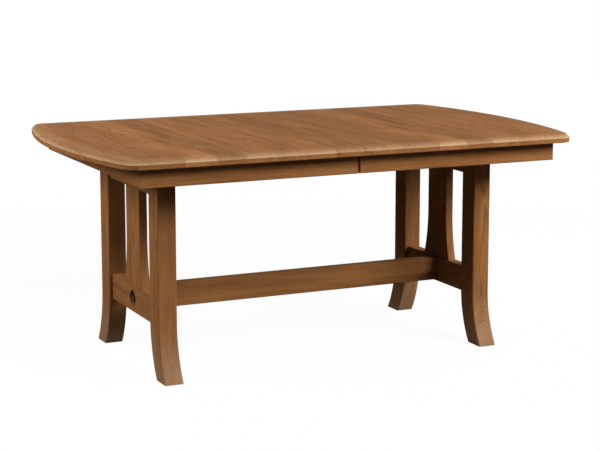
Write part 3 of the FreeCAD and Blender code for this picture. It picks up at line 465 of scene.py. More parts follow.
def make_plastic_group() -> bpy.types.NodeTree:
    """Moulded nylon: a spark-eroded grain, faint flow clouds and rubbed high spots.

    Returns:
        The group, with outputs Color, Roughness and Height.
    """
    inputs = {"Vector": "Vector", "Body": "Color", "Rubbed": "Color"}
    graph, given = new_group("moulded_nylon", inputs, FINISH_OUTPUTS)
    flow_scale = (30.0, 90.0, 90.0)
    flow_bounds, grain_bounds = (0.5, 0.75), (0.45, 0.6)
    roughness = (0.42, 0.62)
    place = given["Vector"]
    grain = graph.noise(place, detail=2.0, scale=1500.0)[0]
    flow = graph.noise(graph.vectors("MULTIPLY", place, flow_scale), detail=3.0)[0]
    rub_and_highlight = graph.maths("MULTIPLY", graph.ease(flow, *flow_bounds), graph.ease(grain, *grain_bounds))
    return graph.close({
        "Color": graph.blend(rub_and_highlight, given["Body"], given["Rubbed"]),
        "Roughness": graph.spread(grain, *roughness),
        "Height": grain,
    })


@dataclass(frozen=True)
class Effects:
    """The shader node groups that the finishes share.

    Attributes:
        boards: Glued-up boards.
        stain: Stained or planed timber.
        metal: Plated or blacked steel.
        nylon: Moulded nylon.
    """

    boards: bpy.types.NodeTree
    stain: bpy.types.NodeTree
    metal: bpy.types.NodeTree
    nylon: bpy.types.NodeTree

    @classmethod
    def build(cls) -> "Effects":
        """Make the groups once."""
        stain = make_stain_group(make_figure_group())
        return cls(make_board_group(), stain, make_metal_group(), make_plastic_group())


def blank_material(name: str, specular: float) -> tuple[bpy.types.Material, Graph, bpy.types.Node]:
    """Start a material with an empty surface shader.

    Args:
        name: The material's name.
        specular: The shader's plain specular level.

    Returns:
        The material, its graph and its surface shader.
    """
    material = bpy.data.materials.new(name)
    graph = empty_tree(material)
    shader = graph.add("ShaderNodeBsdfPrincipled", {"Specular IOR Level": specular})
    graph.add("ShaderNodeOutputMaterial", {"Surface": shader.outputs[0]})
    return material, graph, shader


def dress_shader(
    graph: Graph, shader: bpy.types.Node, finish: bpy.types.NodeOutputs, depth: float
) -> None:
    """Feed a shader from a finish group.

    Args:
        graph: The material's graph.
        shader: Its surface shader.
        finish: The group's outputs Color, Roughness and Height.
        depth: The relief's depth in metres.
    """
    graph.feed(finish["Color"], shader.inputs["Base Color"])
    graph.feed(finish["Roughness"], shader.inputs["Roughness"])
    settings = {"Height": finish["Height"], "Distance": depth, "Strength": BUMP_STRENGTH}
    graph.feed(graph.add("ShaderNodeBump", settings).outputs[0], shader.inputs["Normal"])


def middle_of(node: str) -> Vector:
    """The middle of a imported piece's box."""
    low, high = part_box(node)
    return (low + high) / 2


@dataclass(frozen=True)
class Cut:
    """How a piece was sawn from its tree.

    Attributes:
        grain: The direction of its fibres.
        pith: A point on the tree's middle, in the table's frame.
        lean: Small angles of the fibres off the piece's own line.
        tone: How light the piece is, from 0 to 1.
    """

    grain: Grain
    pith: Vector
    lean: Pair = (0.012, -0.009)
    tone: float = 0.5

    @classmethod
    def numbered(cls, node: str, grain: Grain, number: int, reach: float, tones: Pair) -> "Cut":
        """Cut one of a row of pieces, each from a tree at another angle beside it and in another tone.

        Args:
            node: The piece's name.
            grain: Its fibres' direction.
            number: Its number in the row, from which the angle and the tone follow.
            reach: Distance from the piece's middle to the tree's middle.
            tones: Tones of the darkest and of the lightest piece.

        Returns:
            The cut.
        """
        angle = number * GOLDEN_ANGLE
        offset = grain.beside(reach * math.cos(angle), reach * math.sin(angle))
        tone = tones[0] + (tones[1] - tones[0]) * math.fmod(number * GOLDEN_SHARE, 1.0)
        return cls(grain, middle_of(node) + offset, tone=tone)

    def mapping(self) -> tuple[Vector, Point]:
        """The pattern's shift and its angles.

        Returns:
            The shift that brings the pith to the third axis, and the angles that turn the fibres on to it.
        """
        turn = self.grain.turn
        angles = (turn[0] + self.lean[0], turn[1] + self.lean[1], turn[2])
        rotation = Matrix.Rotation(angles[1], 3, "Y") @ Matrix.Rotation(angles[0], 3, "X")
        return -(rotation @ self.pith), angles


@dataclass(frozen=True)
class PaintedFootHighlight:
    """Painted highlight low on a leg: a paler colour towards the floor that stands in for the lamps' sheen on
    the flared foot.

    Attributes:
        height: Height above the floor at which the painted highlight ends.
        share: How pale the colour is painted at the floor.
        bare: The pale colour painted for the highlight.
    """

    height: float = 0.20
    share: float = 0.16
    bare: Colour = (0.62, 0.50, 0.36)

    def mask(self, graph: Graph) -> Socket:
        """Work out how strongly the highlight is painted at each point, paler towards the floor."""
        return graph.ease(graph.split(graph.object_place())[2], 0.0, self.height, self.share, 0.0)


@dataclass(frozen=True)
class PaintedEdgeHighlight:
    """Painted highlight along the upper edge of the top: a paler colour that stands in for the lamps' sheen
    on the bevel.

    The painted highlight starts on the flat, grows towards the bevel and is strongest at the bevel's lower
    crease. On the flat it follows the distance to the edge, the lesser of that to the straight side and that
    to the bowed end, whose line falls back with the square of the distance from the middle. On the bevel it
    follows the normal's upward part, as the lamps' sheen would.

    Attributes:
        level: Height of the upper face.
        half_length: Distance from the seam to the middle of the bowed end.
        half_width: Half the top's width.
        bow: How far the end's line falls back at the sides.
        bevel: Width and depth of the bevel.
        reach: Distance from the edge at which the painted highlight starts.
        start: How pale the colour is painted at the bevel's upper crease.
        share: How pale it is painted at the lower crease.
        flat_turn: Upward parts of the normal between which the bevel passes into the flat.
        upright_turn: Upward parts of the normal between which the upright edge passes into the bevel.
        bare: The pale colour painted for the highlight.
    """

    level: float
    half_length: float
    half_width: float
    bow: float = 0.075
    bevel: float = 0.013
    reach: float = 0.075
    start: float = 0.12
    share: float = 0.47
    flat_turn: Pair = (0.85, 0.97)
    upright_turn: Pair = (0.35, 0.60)
    bare: Colour = (0.62, 0.45, 0.275)

    def mask(self, graph: Graph) -> Socket:
        """Work out how strongly the highlight is painted at each point.

        Args:
            graph: The material's graph.

        Returns:
            The share's socket.
        """
        source = graph.add("ShaderNodeTexCoord", {}).outputs
        x, y, z = graph.split(source["Object"])
        # The normal's upward part picks the flat and the bevel, so the painted highlight lies on faces that
        # turn up towards the lamps.
        slope = graph.split(source["Normal"])[2]
        to_side = graph.maths("SUBTRACT", self.half_width, graph.maths("ABSOLUTE", y))
        square = graph.maths("POWER", graph.maths("DIVIDE", y, self.half_width), 2.0)
        end_line = graph.maths("SUBTRACT", self.half_length, graph.maths("MULTIPLY", square, self.bow))
        to_end = graph.maths("SUBTRACT", end_line, graph.maths("ABSOLUTE", x))
        to_edge = graph.maths("MINIMUM", to_side, to_end)
        on_flat = graph.ease(to_edge, self.bevel, self.reach, self.start, 0.0)
        on_bevel = graph.ease(z, self.level - self.bevel, self.level, self.share, self.start)
        flat = graph.maths("MULTIPLY", on_flat, graph.ease(slope, *self.flat_turn))
        sloped = graph.maths("MULTIPLY", on_bevel, graph.ease(slope, *self.flat_turn, 1.0, 0.0))
        bevel = graph.maths("MULTIPLY", sloped, graph.ease(slope, *self.upright_turn))
        return graph.maths("MAXIMUM", flat, bevel)


PaintedHighlight = Union[PaintedFootHighlight, PaintedEdgeHighlight]


@dataclass(frozen=True)
class Panel:
    """Boards glued side by side and sawn off at the table's seam.

    Attributes:
        start: Where along the run of boards the panel starts, in boards.
        width: Mean width of a board.
        seam: Half the width of the dark line along the seam, partly dust in the joint and partly painted
            shade of the gap.
        seam_dust_and_shade_share: How dark that line is, next to a glued joint.
        highlight_board_levels: Factors of the painted highlight on the darkest board and on the lightest.
    """

    start: float
    width: float = 0.105
    seam: float = 0.0018
    seam_dust_and_shade_share: float = 1.5
    highlight_board_levels: Pair = (0.65, 1.35)

    def seam_dust_and_shade(self, graph: Graph, point: Socket) -> Socket:
        """Work out how dark the line along the seam is at each point: dust in the joint and painted shade of
        the gap.
        """
        from_seam = graph.maths("ABSOLUTE", graph.split(point)[0])
        return graph.ease(from_seam, self.seam / 2, self.seam, self.seam_dust_and_shade_share, 0.0)


@dataclass(frozen=True)
class WoodFinish:
    """A timber, stained and lacquered or left planed.

    Attributes:
        label: The finish's name.
        pale: Colour of the palest streaks.
        middle: Colour of the ground.
        dark: Colour of rings, pores and joints.
        spacing: Distance from ring to ring in metres.
        wander: How far the tree's middle strays, in metres.
        contrast: How strongly rings and streaks show.
        sheen: Mean roughness of the surface.
        specular: Specular level of the surface.
        relief: Depth of the grain.
    """

    label: str
    pale: Colour
    middle: Colour
    dark: Colour
    spacing: float
    wander: float
    contrast: float
    sheen: float
    specular: float
    relief: float = 0.00012

    def dress(
        self,
        effects: Effects,
        node: str,
        cut: Cut,
        painted_highlight: Optional[PaintedHighlight] = None,
        panel: Optional[Panel] = None,
    ) -> None:
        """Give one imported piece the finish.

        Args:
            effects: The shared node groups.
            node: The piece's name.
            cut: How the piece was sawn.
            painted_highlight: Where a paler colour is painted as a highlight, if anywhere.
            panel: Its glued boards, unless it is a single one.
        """
        material, graph, shader = blank_material(f"{self.label}_{node}", self.specular)
        shift, angles = cut.mapping()
        point = graph.object_place()
        settings = {"Vector": point, "Location": shift, "Rotation": angles}
        place = graph.add("ShaderNodeMapping", settings).outputs[0]
        tone: Value = cut.tone
        joint: Value = 0.0
        # Mask of the painted highlight, made stronger on the lighter boards of a panel.
        rub_and_highlight: Value = painted_highlight.mask(graph) if painted_highlight else 0.0
        if panel:
            boards = graph.use(effects.boards, {"Vector": place, "Width": panel.width, "Start": panel.start})
            place, tone = boards["Vector"], boards["Tone"]
            # The seam's dark line is partly dust and partly painted shade of the gap between the halves.
            joint = graph.maths("MAXIMUM", boards["Joint"], panel.seam_dust_and_shade(graph, point))
            rub_and_highlight = graph.maths("MULTIPLY", rub_and_highlight, graph.spread(tone, *panel.highlight_board_levels))
        stain = graph.use(effects.stain, {
            "Vector": place, "Spacing": self.spacing, "Wander": self.wander, "Contrast": self.contrast,
            "Tone": tone, "Joint": joint, "Rub": rub_and_highlight, "Sheen": self.sheen, "Pale": self.pale,
            "Middle": self.middle, "Dark": self.dark, "Bare": painted_highlight.bare if painted_highlight else self.pale,
        })
        dress_shader(graph, shader, stain, self.relief)
        paint(node, material)


@dataclass(frozen=True)
class SteelFinish:
    """Plated or blacked steel of the hardware.

    Attributes:
        label: The finish's name.
        bright: Colour of its clean flakes.
        dull: Colour of its bloom.
        metallic: How metallic it is.
        specular: Specular level of what isn't metallic.
        relief: Depth of flakes and scratches.
    """

    label: str
    bright: Colour
    dull: Colour
    metallic: float
    specular: float = 0.5
    relief: float = 0.00003

    def material(self, effects: Effects) -> bpy.types.Material:
        """Make the finish.

        Args:
            effects: The shared node groups.

        Returns:
            The material.
        """
        material, graph, shader = blank_material(self.label, self.specular)
        shader.inputs["Metallic"].default_value = self.metallic
        settings = {"Vector": graph.object_place(), "Bright": self.bright, "Dull": self.dull}
        dress_shader(graph, shader, graph.use(effects.metal, settings), self.relief)
        return material


@dataclass(frozen=True)
class PlasticFinish:
    """Dark moulded nylon of the gearing and the bushings.

    Attributes:
        label: The finish's name.
        body: Its colour.
        rubbed: Colour of its rubbed spots.
        specular: Its specular level.
        relief: Depth of its grain.
    """

    label: str = "moulded_nylon"
    body: Colour = (0.030, 0.030, 0.033)
    rubbed: Colour = (0.085, 0.083, 0.080)
    specular: float = 0.4
    relief: float = 0.00008

    def material(self, effects: Effects) -> bpy.types.Material:
        """Make the finish.

        Args:
            effects: The shared node groups.

        Returns:
            The material.
        """
        material, graph, shader = blank_material(self.label, self.specular)
        settings = {"Vector": graph.object_place(), "Body": self.body, "Rubbed": self.rubbed}
        dress_shader(graph, shader, graph.use(effects.nylon, settings), self.relief)
        return material


STAINED = WoodFinish(
    label="stained_hardwood", pale=(0.335, 0.148, 0.053), middle=(0.262, 0.109, 0.036),
    dark=(0.115, 0.042, 0.0125), spacing=0.0042, wander=0.055, contrast=1.0, sheen=0.45, specular=0.0015)
PLANED = WoodFinish(
    label="planed_maple", pale=(0.70, 0.54, 0.36), middle=(0.58, 0.42, 0.26), dark=(0.36, 0.23, 0.12),
    spacing=0.0030, wander=0.025, contrast=0.6, sheen=0.62, specular=0.3)
ZINC = SteelFinish(label="zinc_plate", bright=(0.60, 0.60, 0.59), dull=(0.33, 0.32, 0.30), metallic=1.0)
BLACKED = SteelFinish(
    label="black_oxide", bright=(0.026, 0.020, 0.016), dull=(0.012, 0.009, 0.007), metallic=0.0,
    specular=0.02)


def paint(node: str, material: bpy.types.Material) -> None:
    """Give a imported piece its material.

    Args:
        node: The piece's name.
        material: The material.
    """
    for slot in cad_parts[node].material_slots:
        slot.material = material
    LOG.info("dressed %s", node)


def place_object(label: str, data: bpy.types.ID) -> bpy.types.Object:
    """Put a mesh, a light or a camera into the scene as an object.

    Args:
        label: The object's name.
        data: What it shows.

    Returns:
        The object.
    """
    placed = bpy.data.objects.new(label, data)
    bpy.context.scene.collection.objects.link(placed)
    return placed


@dataclass
class Trestles:
    """The two trestles and the stretcher between them.

    Attributes:
        finish: Their timber.
        pith_reach: Distance from a piece's middle to its tree's middle.
        tones: Tones of the darkest and of the lightest piece.
    """

    finish: WoodFinish = STAINED
    pith_reach: float = 0.085
    tones: Pair = (0.35, 0.65)

    def dress(self, effects: Effects, steel: bpy.types.Material, black: bpy.types.Material) -> None:
        """Give each leg, rail, splat and the stretcher its own cut of timber, and the bolts their steel.

        Args:
            effects: The shared node groups.
            steel: Finish of the hidden nuts.
            black: Finish of the bolts and washers.
        """
        paint("stretcher_bolts", black)
        paint("stretcher_washers", black)
        paint("stretcher_barrel_nuts", steel)
        legs = [f"leg_{side}_{end}" for end in ENDS for side in SIDES]
        splats = [f"splat_{end}" for end in ENDS]
        rails = [f"{height}_rail_{end}" for end in ENDS for height in ("upper", "lower")]
        pieces = [(node, Grain.UPRIGHT) for node in legs + splats] + [(node, Grain.ACROSS) for node in rails]
        for number, (node, grain) in enumerate(pieces + [("stretcher", Grain.ALONG)]):
            cut = Cut.numbered(node, grain, number, self.pith_reach, self.tones)
            # Legs get a painted highlight, paler towards the floor.
            self.finish.dress(effects, node, cut, PaintedFootHighlight() if node in legs else None)


APRON_GRAINS = {"front": Grain.ALONG, "rear": Grain.ALONG, "end": Grain.ACROSS}
BOARD_STARTS = {Half.RIGHT: 3.37, Half.LEFT: 11.81}


@dataclass
class TopHalf:
    """One half of the top with its aprons, cleats, blocks and screws.

    Attributes:
        half: Which half it is.
        finish: Timber of the top and the aprons.
        inner: Timber of the cleats and blocks.
        top_lean: Small angles of the top's fibres off its own line.
        apron_aside: Distance aside from the first apron's middle to its tree's middle.
        apron_aside_step: How much further aside the next apron's tree lies.
        apron_above: How far above an apron's middle its tree's middle lies.
        apron_tone: Tone of the first apron.
        apron_tone_step: How much lighter the next one is.
        inner_pith: Place of the cleats' or blocks' tree, from the middle of the set.
        screw_radius: Radius of the cleats' and blocks' screw heads.
        screw_rise: Height of those heads.
        cleat_shares: Places of a cleat's screws along it.
        cleat_size: Side of the square cleats.
        cleat_setback: Distance from the seam to the side cleats.
        cleat_corner_gap: Distance from the end of a cleat to the apron's corner.
        block_leg: Side of a corner block along the apron.
        block_spread: Distance of a block's screws from its middle.
    """

    half: Half
    finish: WoodFinish = STAINED
    inner: WoodFinish = PLANED
    top_lean: Pair = (0.0, 0.004)
    apron_aside: float = 0.07
    apron_aside_step: float = 0.02
    apron_above: float = 0.03
    apron_tone: float = 0.42
    apron_tone_step: float = 0.08
    inner_pith: Point = (0.0, 0.06, 0.09)
    screw_radius: float = 0.0042
    screw_rise: float = 0.0022
    cleat_shares: tuple[float, ...] = (0.1, 0.5, 0.9)
    cleat_size: float = 0.018
    cleat_setback: float = 0.060
    cleat_corner_gap: float = 0.080
    block_leg: float = 0.075
    block_spread: float = 0.018

    def dress(self, effects: Effects) -> None:
        """Give the half's wooden pieces their timber.

        Args:
            effects: The shared node groups.
        """
        word = self.half.word
        top = f"top_{word}"
        low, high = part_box(top)
        cut = Cut(Grain.ACROSS, Vector((0.0, 0.0, (low.z + high.z) / 2)), self.top_lean)
        # Painted highlight along the top's upper edge and bevel.
        painted_highlight = PaintedEdgeHighlight(high.z, max(-low.x, high.x), high.y)
        self.finish.dress(effects, top, cut, painted_highlight, Panel(BOARD_STARTS[self.half]))
        for number, (side, grain) in enumerate(APRON_GRAINS.items()):
            node = f"apron_{side}_{word}"
            offset = grain.beside(self.apron_aside + self.apron_aside_step * number, self.apron_above)
            tone = self.apron_tone + self.apron_tone_step * number
            self.finish.dress(effects, node, Cut(grain, middle_of(node) + offset, tone=tone))
        for node, grain in ((f"cleats_{word}", Grain.ALONG), (f"corner_blocks_{word}", Grain.UPRIGHT)):
            self.inner.dress(effects, node, Cut(grain, middle_of(node) + Vector(self.inner_pith)))

    def build(self, steel: bpy.types.Material) -> None:
        """Drive the screws of the cleats and of the corner blocks.

        Args:
            steel: Finish of the screws.
        """
        for kind, (seats, facings) in (("cleat", self.cleat_screws()), ("block", self.block_screws())):
            label = f"{kind}_screw_heads_{self.half.word}"
            ScrewHeads(label, self.half.body, seats, facings, self.screw_radius, self.screw_rise).build(steel)

    def corner(self) -> Pair:
        """Distances of the aprons' inner corner from the seam and from the table's middle line."""
        low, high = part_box(f"cleats_{self.half.word}")
        return max(abs(low.x), abs(high.x)), high.y

    def cleat_screws(self) -> tuple[np.ndarray, np.ndarray]:
        """Place the cleats' screws: those of both side cleats, then those of the end cleat.

        Returns:
            Seats and facings, one row each.
        """
        end, side = self.corner()
        shares = np.array(self.cleat_shares)
        lengthwise = self.cleat_setback + (end - self.cleat_corner_gap - self.cleat_setback) * shares
        crosswise = (side - self.cleat_corner_gap) * (2 * shares - 1)
        side_line = np.full_like(shares, side - self.cleat_size / 2)
        end_line = np.full_like(shares, end - self.cleat_size / 2)
        x = np.concatenate([lengthwise, lengthwise, end_line]) * self.half.value
        y = np.concatenate([-side_line, side_line, crosswise])
        return facing_down(np.column_stack([x, y]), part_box(f"cleats_{self.half.word}")[0].z)

    def block_screws(self) -> tuple[np.ndarray, np.ndarray]:
        """Place the corner blocks' screws, two beside the middle of each block's slanted face.

        Returns:
            Seats and facings, one row each.
        """
        end, side = self.corner()
        reach = self.block_leg / 2
        middle = np.array([[end - reach, reach - side], [end - reach, side - reach]])
        lie = np.array([[1.0, 1.0], [1.0, -1.0]]) / math.sqrt(2.0) * self.block_spread
        face = np.array([[-1.0, 1.0], [-1.0, -1.0]]) / math.sqrt(2.0)
        plan = np.concatenate([middle + lie, middle - lie]) * (self.half.value, 1.0)
        facing = np.tile(face, (2, 1)) * (self.half.value, 1.0)
        level = middle_of(f"corner_blocks_{self.half.word}").z
        return np.pad(plan, ((0, 0), (0, 1)), constant_values=level), np.pad(facing, ((0, 0), (0, 1)))


@dataclass
class Slides:
    """The two geared slides under the top.

    Attributes:
        finish: Timber of the runners and the alignment pins.
        pith_reach: Distance from a runner's middle to its tree's middle.
        tones: Tones of the darkest and of the lightest runner.
    """

    finish: WoodFinish = PLANED
    pith_reach: float = 0.055
    tones: Pair = (0.0, 1.0)

    def dress(self, effects: Effects, steel: bpy.types.Material, nylon: bpy.types.Material) -> None:
        """Give runners, gearing and screws their finishes.

        Args:
            effects: The shared node groups.
            steel: Finish of screws and axles.
            nylon: Finish of racks, pinions and bushings.
        """
        places = [f"{side}_{half.word}" for side in SIDES for half in Half]
        runners = [f"fixed_runner_{side}" for side in SIDES] + [f"side_runner_{place}" for place in places]
        for number, node in enumerate(runners):
            cut = Cut.numbered(node, Grain.ALONG, number, self.pith_reach, self.tones)
            self.finish.dress(effects, node, cut)
        self.finish.dress(effects, "alignment_pins", Cut(Grain.ALONG, middle_of("alignment_pins")))
        for node in [f"rack_{place}" for place in places] + ["pinion_front", "pinion_rear", "pin_bushings"]:
            paint(node, nylon)
        for node in ("pinion_axles", "fixed_runner_screws", "runner_screws_right", "runner_screws_left"):
            paint(node, steel)


@dataclass
class SeamLocks:
    """The two seam locks of plated steel.

    Attributes:
        plate_inset: Distance of a lock plate's screws from its corners.
        keeper_inset: Distance of a keeper plate's screws from its corners.
        plate_size: Length and width of a lock plate.
        keeper_side: Side of a keeper's square plate.
        screw_radius: Radius of the countersunk heads.
        screw_rise: How far the heads stand proud.
    """

    plate_inset: float = 0.0062
    keeper_inset: float = 0.0048
    plate_size: Pair = (0.056, 0.036)
    keeper_side: float = 0.028
    screw_radius: float = 0.0033
    screw_rise: float = 0.00025

    def dress(self, steel: bpy.types.Material) -> None:
        """Give the steel pieces their finish.

        Args:
            steel: The finish.
        """
        for node in ("lock_plates", "lock_pivots", "lock_keepers", "lock_lever_front", "lock_lever_rear"):
            paint(node, steel)

    def build(self, steel: bpy.types.Material) -> None:
        """Drive the countersunk screws, four in each lock plate and two in each keeper's plate.

        Args:
            steel: Finish of the screws.
        """
        plate = np.array([[-1.0, -1.0], [1.0, -1.0], [1.0, 1.0], [-1.0, 1.0]])
        plate = plate * (np.array(self.plate_size) / 2 - self.plate_inset)
        keeper = np.array([[-1.0, -1.0], [1.0, 1.0]]) * (self.keeper_side / 2 - self.keeper_inset)
        low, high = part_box("lock_plates")
        pivot_y = high.y - self.plate_size[1] / 2
        for label, half, carrier, corners in (
            ("lock_screw_heads", Half.RIGHT, "lock_plates", plate),
            ("keeper_screw_heads", Half.LEFT, "lock_keepers", keeper),
        ):
            x = middle_of(carrier).x
            centres = np.array([[x, -pivot_y], [x, pivot_y]])
            plan = (centres[:, None, :] + corners[None, :, :]).reshape(-1, 2)
            seats, facings = facing_down(plan, low.z)
            ScrewHeads(label, half.body, seats, facings, self.screw_radius, self.screw_rise).build(steel)


def facing_down(plan: np.ndarray, level: float) -> tuple[np.ndarray, np.ndarray]:
    """Seats and facings of screws that are driven upwards into a level face.

    Args:
        plan: Places in plan, one row each.
        level: Height of the face.

    Returns:
        Seats and facings, one row each.
    """
    seats = np.column_stack([plan, np.full(len(plan), level)])
    return seats, np.tile((0.0, 0.0, -1.0), (len(plan), 1))


@dataclass
class ScrewHeads:
    """A set of cross-recessed screw heads on one body.

    Attributes:
        label: Name of the piece.
        body: Body that carries it.
        seats: Middles of the heads' seats, one row each.
        facings: Directions that the heads face, one row each.
        radius: Radius of a head.
        rise: Height of a head.
        rings: Rings of the grid from the middle to the rim.
        spokes: Spokes of the grid.
        sunk: How far the rim reaches below the seat.
        rim_fall: Share of the rise that the dome loses at its rim.
        arm_share: Share of the radius at which the recess's arms end.
        arm_fade: Share of the radius over which they run out.
        arm_power: How narrow they are.
        recess_share: Depth of the recess as a share of the rise.
        crease: Angle from which an edge is sharp, in degrees.
    """

    label: str
    body: str
    seats: np.ndarray
    facings: np.ndarray
    radius: float
    rise: float
    rings: int = 6
    spokes: int = 24
    sunk: float = 0.0004
    rim_fall: float = 0.45
    arm_share: float = 0.62
    arm_fade: float = 0.2
    arm_power: int = 12
    recess_share: float = 0.85
    crease: float = 40.0

    def head(self) -> np.ndarray:
        """The points of one head, facing along the third axis.

        The height over the seat is the rise times a flat dome, which falls with the fourth power of the
        radius, less a cross: a high power of the cosine of twice the angle, faded out along its arms.

        Returns:
            Points: the middle, the rings from the middle outwards, the sunk rim and the middle of the back.
        """
        share = np.arange(1, self.rings + 1) / self.rings
        angle = np.arange(self.spokes) * (2 * math.pi / self.spokes)
        dome = 1.0 - share**4 * self.rim_fall
        arms = np.abs(np.cos(2.0 * angle)) ** self.arm_power
        fade = np.clip((self.arm_share - share) / self.arm_fade, 0.0, 1.0)
        height = self.rise * (dome[:, None] - self.recess_share * fade[:, None] * arms[None, :])
        circle = np.stack([np.cos(angle), np.sin(angle)], 1)
        plan = circle[None, :, :] * (share[:, None, None] * self.radius)
        grid = np.concatenate([plan, height[:, :, None]], 2).reshape(-1, 3)
        rim = np.column_stack([plan[-1], np.full(self.spokes, -self.sunk)])
        middle = [[0.0, 0.0, self.rise * (1.0 - self.recess_share)]]
        return np.concatenate([middle, grid, rim, [[0.0, 0.0, -self.sunk]]])

    def faces(self) -> tuple[np.ndarray, np.ndarray]:
        """The faces of one head.

        Returns:
            Three-cornered faces at the middle and the back, and four-cornered faces of the rings and the rim.
        """
        spoke = np.arange(self.spokes)
        after = (spoke + 1) % self.spokes
        last = 1 + self.rings * self.spokes
        fan = np.stack([np.zeros_like(spoke), 1 + spoke, 1 + after], 1)
        back = np.stack([np.full_like(spoke, last + self.spokes), last + after, last + spoke], 1)
        start = 1 + np.arange(self.rings)[:, None] * self.spokes
        beyond = start + self.spokes
        quads = np.stack([start + spoke, beyond + spoke, beyond + after, start + after], 2)
        return np.concatenate([fan, back]), quads.reshape(-1, 4)

    def build(self, steel: bpy.types.Material) -> None:
        """Make the set as one piece.

        Each head is turned by a golden angle after the last, so that no two recesses line up.

        Args:
            steel: Finish of the screws.
        """
        points = self.head()
        threes, fours = self.faces()
        upright = np.abs(self.facings[:, 2:3]) > 0.5
        side = np.cross(self.facings, np.where(upright, (1.0, 0.0, 0.0), (0.0, 0.0, 1.0)))
        up = np.cross(self.facings, side)
        turn = (np.arange(len(self.seats)) * GOLDEN_ANGLE)[:, None]
        first = side * np.cos(turn) + up * np.sin(turn)
        basis = np.stack([first, np.cross(self.facings, first), self.facings], 1)
        placed = (self.seats[:, None, :] + np.einsum("pk,nkc->npc", points, basis)).reshape(-1, 3)
        shift = np.arange(len(self.seats))[:, None, None] * len(points)
        faces = (threes + shift).reshape(-1, 3).tolist() + (fours + shift).reshape(-1, 4).tolist()
        mesh = bpy.data.meshes.new(self.label)
        mesh.from_pydata(placed.tolist(), [], faces)
        mesh.shade_smooth()
        mesh.set_sharp_from_angle(angle=math.radians(self.crease))
        mesh.materials.append(steel)
        piece = place_object(self.label, mesh)
        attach(piece, self.body)
        LOG.info("built %s", self.label)


@dataclass(frozen=True)
class Lamp:
    """A soft light box.

    Attributes:
        label: Its name.
        place: Its middle.
        target: The point that it faces.
        size: Its width and height.
        power: Its power in watts.
    """

    label: str
    place: Point
    target: Point
    size: Pair
    power: float

    def build(self) -> None:
        """Hang the light box."""
        light = bpy.data.lights.new(self.label, "AREA")
        light.shape = "RECTANGLE"
        light.size, light.size_y = self.size
        light.energy = self.power
        lamp = place_object(self.label, light)
        lamp.location = self.place
        way = Vector(self.target) - Vector(self.place)
        lamp.rotation_euler = way.to_track_quat("-Z", "Y").to_euler()
        LOG.info("hung %s", self.label)


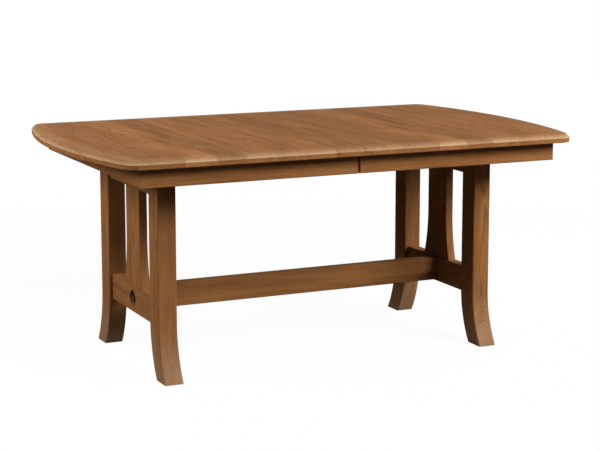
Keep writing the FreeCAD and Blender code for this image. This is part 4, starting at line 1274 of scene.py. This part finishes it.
@dataclass
class Studio:
    """The floor, the light and the camera.

    Attributes:
        floor_half: Half the floor's side.
        floor_colour: The floor's colour to a direct look.
        floor_bounce: The floor's colour to light on its way to the table.
        floor_white: Share of plain white that a direct look at the floor by the table shows.
        floor_fade: Distances between which that share grows to the whole.
        ambient: Level of the surrounding light.
        lamps: The light boxes.
        camera_place: The camera's place.
        camera_yaw: Its turn to the right of straight ahead, in radians.
        camera_pitch: Its tilt, in radians.
        focal: Its focal length in pixels.
        shift: Its lens shift as a share of the picture's width.
        picture_width: Width of the picture in pixels.
        sight: Distance to which the camera sees.
    """

    floor_half: float = 60.0
    floor_colour: Colour = (0.85, 0.85, 0.84)
    floor_bounce: Colour = (0.12, 0.117, 0.114)
    floor_white: float = 0.95
    floor_fade: Pair = (1.2, 4.0)
    ambient: float = 0.02
    lamps: tuple[Lamp, ...] = (
        Lamp("top_box", (-0.3, 2.4, 3.4), (0.0, 0.2, 0.7), (3.0, 2.0), 32.0),
        Lamp("key_box", (2.92, -4.28, 3.50), (0.1, -0.4, 0.6), (3.2, 2.2), 450.0),
        Lamp("left_box", (-2.4, 0.5, 1.6), (-0.6, 0.0, 0.4), (0.9, 0.9), 34.0),
        Lamp("left_fill", (-2.2, -0.9, 1.5), (-0.6, 0.0, 0.4), (0.8, 0.8), 10.0),
        Lamp("right_box", (2.4, 0.6, 0.95), (0.6, 0.0, 0.4), (0.9, 0.9), 18.0),
    )
    camera_place: Point = (-2.3738, -5.1165, 1.4572)
    camera_yaw: float = 0.43745
    camera_pitch: float = -0.15963
    focal: float = 1631.6
    shift: float = -0.06
    picture_width: float = 600.0
    sight: float = 240.0

    def build(self) -> None:
        """Set up everything around the table."""
        self.lay_floor()
        self.light_world()
        for lamp in self.lamps:
            lamp.build()
        self.place_camera()

    @staticmethod
    def seen_directly(graph: Graph) -> Socket:
        """One for looks from the camera, in a reflection or through glass, and zero for light on its way.

        Args:
            graph: The tree that asks.

        Returns:
            The answer's socket.
        """
        path = graph.add("ShaderNodeLightPath", {}).outputs
        direct = graph.maths("MAXIMUM", path["Is Camera Ray"], path["Is Glossy Ray"])
        return graph.maths("MAXIMUM", direct, path["Is Transmission Ray"])

    def lay_floor(self) -> None:
        """Lay the pale floor, a grid of one face, white to a direct look but for the table's shadow."""
        span = np.array([-self.floor_half, self.floor_half])
        x, y = np.meshgrid(span, span)
        points = np.column_stack([x.ravel(), y.ravel(), np.zeros(x.size)])
        mesh = bpy.data.meshes.new("floor")
        mesh.from_pydata(points.tolist(), [], [(0, 1, 3, 2)])
        material = bpy.data.materials.new("pale_floor")
        graph = empty_tree(material)
        direct = self.seen_directly(graph)
        colour = graph.blend(direct, self.floor_bounce, self.floor_colour)
        matt = graph.add("ShaderNodeBsdfDiffuse", {"Color": colour})
        white = graph.add("ShaderNodeEmission", {"Color": WHITE, "Strength": 1.0})
        distance = graph.length(graph.object_place())
        whiteness = graph.ease(distance, *self.floor_fade, self.floor_white, 1.0)
        mixed = graph.add("ShaderNodeMixShader", {"Fac": graph.maths("MULTIPLY", direct, whiteness)})
        graph.feed(matt.outputs[0], mixed.inputs[1])
        graph.feed(white.outputs[0], mixed.inputs[2])
        graph.add("ShaderNodeOutputMaterial", {"Surface": mixed.outputs[0]})
        mesh.materials.append(material)
        floor = place_object("floor", mesh)
        LOG.info("laid floor")

    def light_world(self) -> None:
        """Make the surroundings white to a direct look and a soft grey light otherwise."""
        world = bpy.data.worlds.new("studio")
        graph = empty_tree(world)
        level = graph.ease(self.seen_directly(graph), 0.0, 1.0, self.ambient, 1.0)
        sky = graph.add("ShaderNodeBackground", {"Color": WHITE, "Strength": level})
        graph.add("ShaderNodeOutputWorld", {"Surface": sky.outputs[0]})
        bpy.context.scene.world = world
        LOG.info("lit surroundings")

    def place_camera(self) -> None:
        """Put the camera where the photograph's was."""
        lens = bpy.data.cameras.new("camera")
        lens.sensor_fit = "HORIZONTAL"
        lens.lens = self.focal * lens.sensor_width / self.picture_width
        lens.shift_y = self.shift
        lens.clip_end = self.sight
        camera = place_object("camera", lens)
        camera.location = self.camera_place
        camera.rotation_euler = (math.pi / 2 + self.camera_pitch, 0.0, -self.camera_yaw)
        bpy.context.scene.camera = camera
        LOG.info("placed camera")


def main() -> None:
    """Build and dress the table in order, then its surroundings."""
    logging.basicConfig(level=logging.INFO, format="%(name)s: %(message)s")
    bpy.context.scene.view_settings.view_transform = "Standard"
    effects = Effects.build()
    steel = ZINC.material(effects)
    black = BLACKED.material(effects)
    nylon = PlasticFinish().material(effects)
    Trestles().dress(effects, steel, black)
    for half in Half:
        top = TopHalf(half)
        top.dress(effects)
        top.build(steel)
    Slides().dress(effects, steel, nylon)
    locks = SeamLocks()
    locks.dress(steel)
    locks.build(steel)
    Studio().build()


if __name__ == "__main__":
    main()
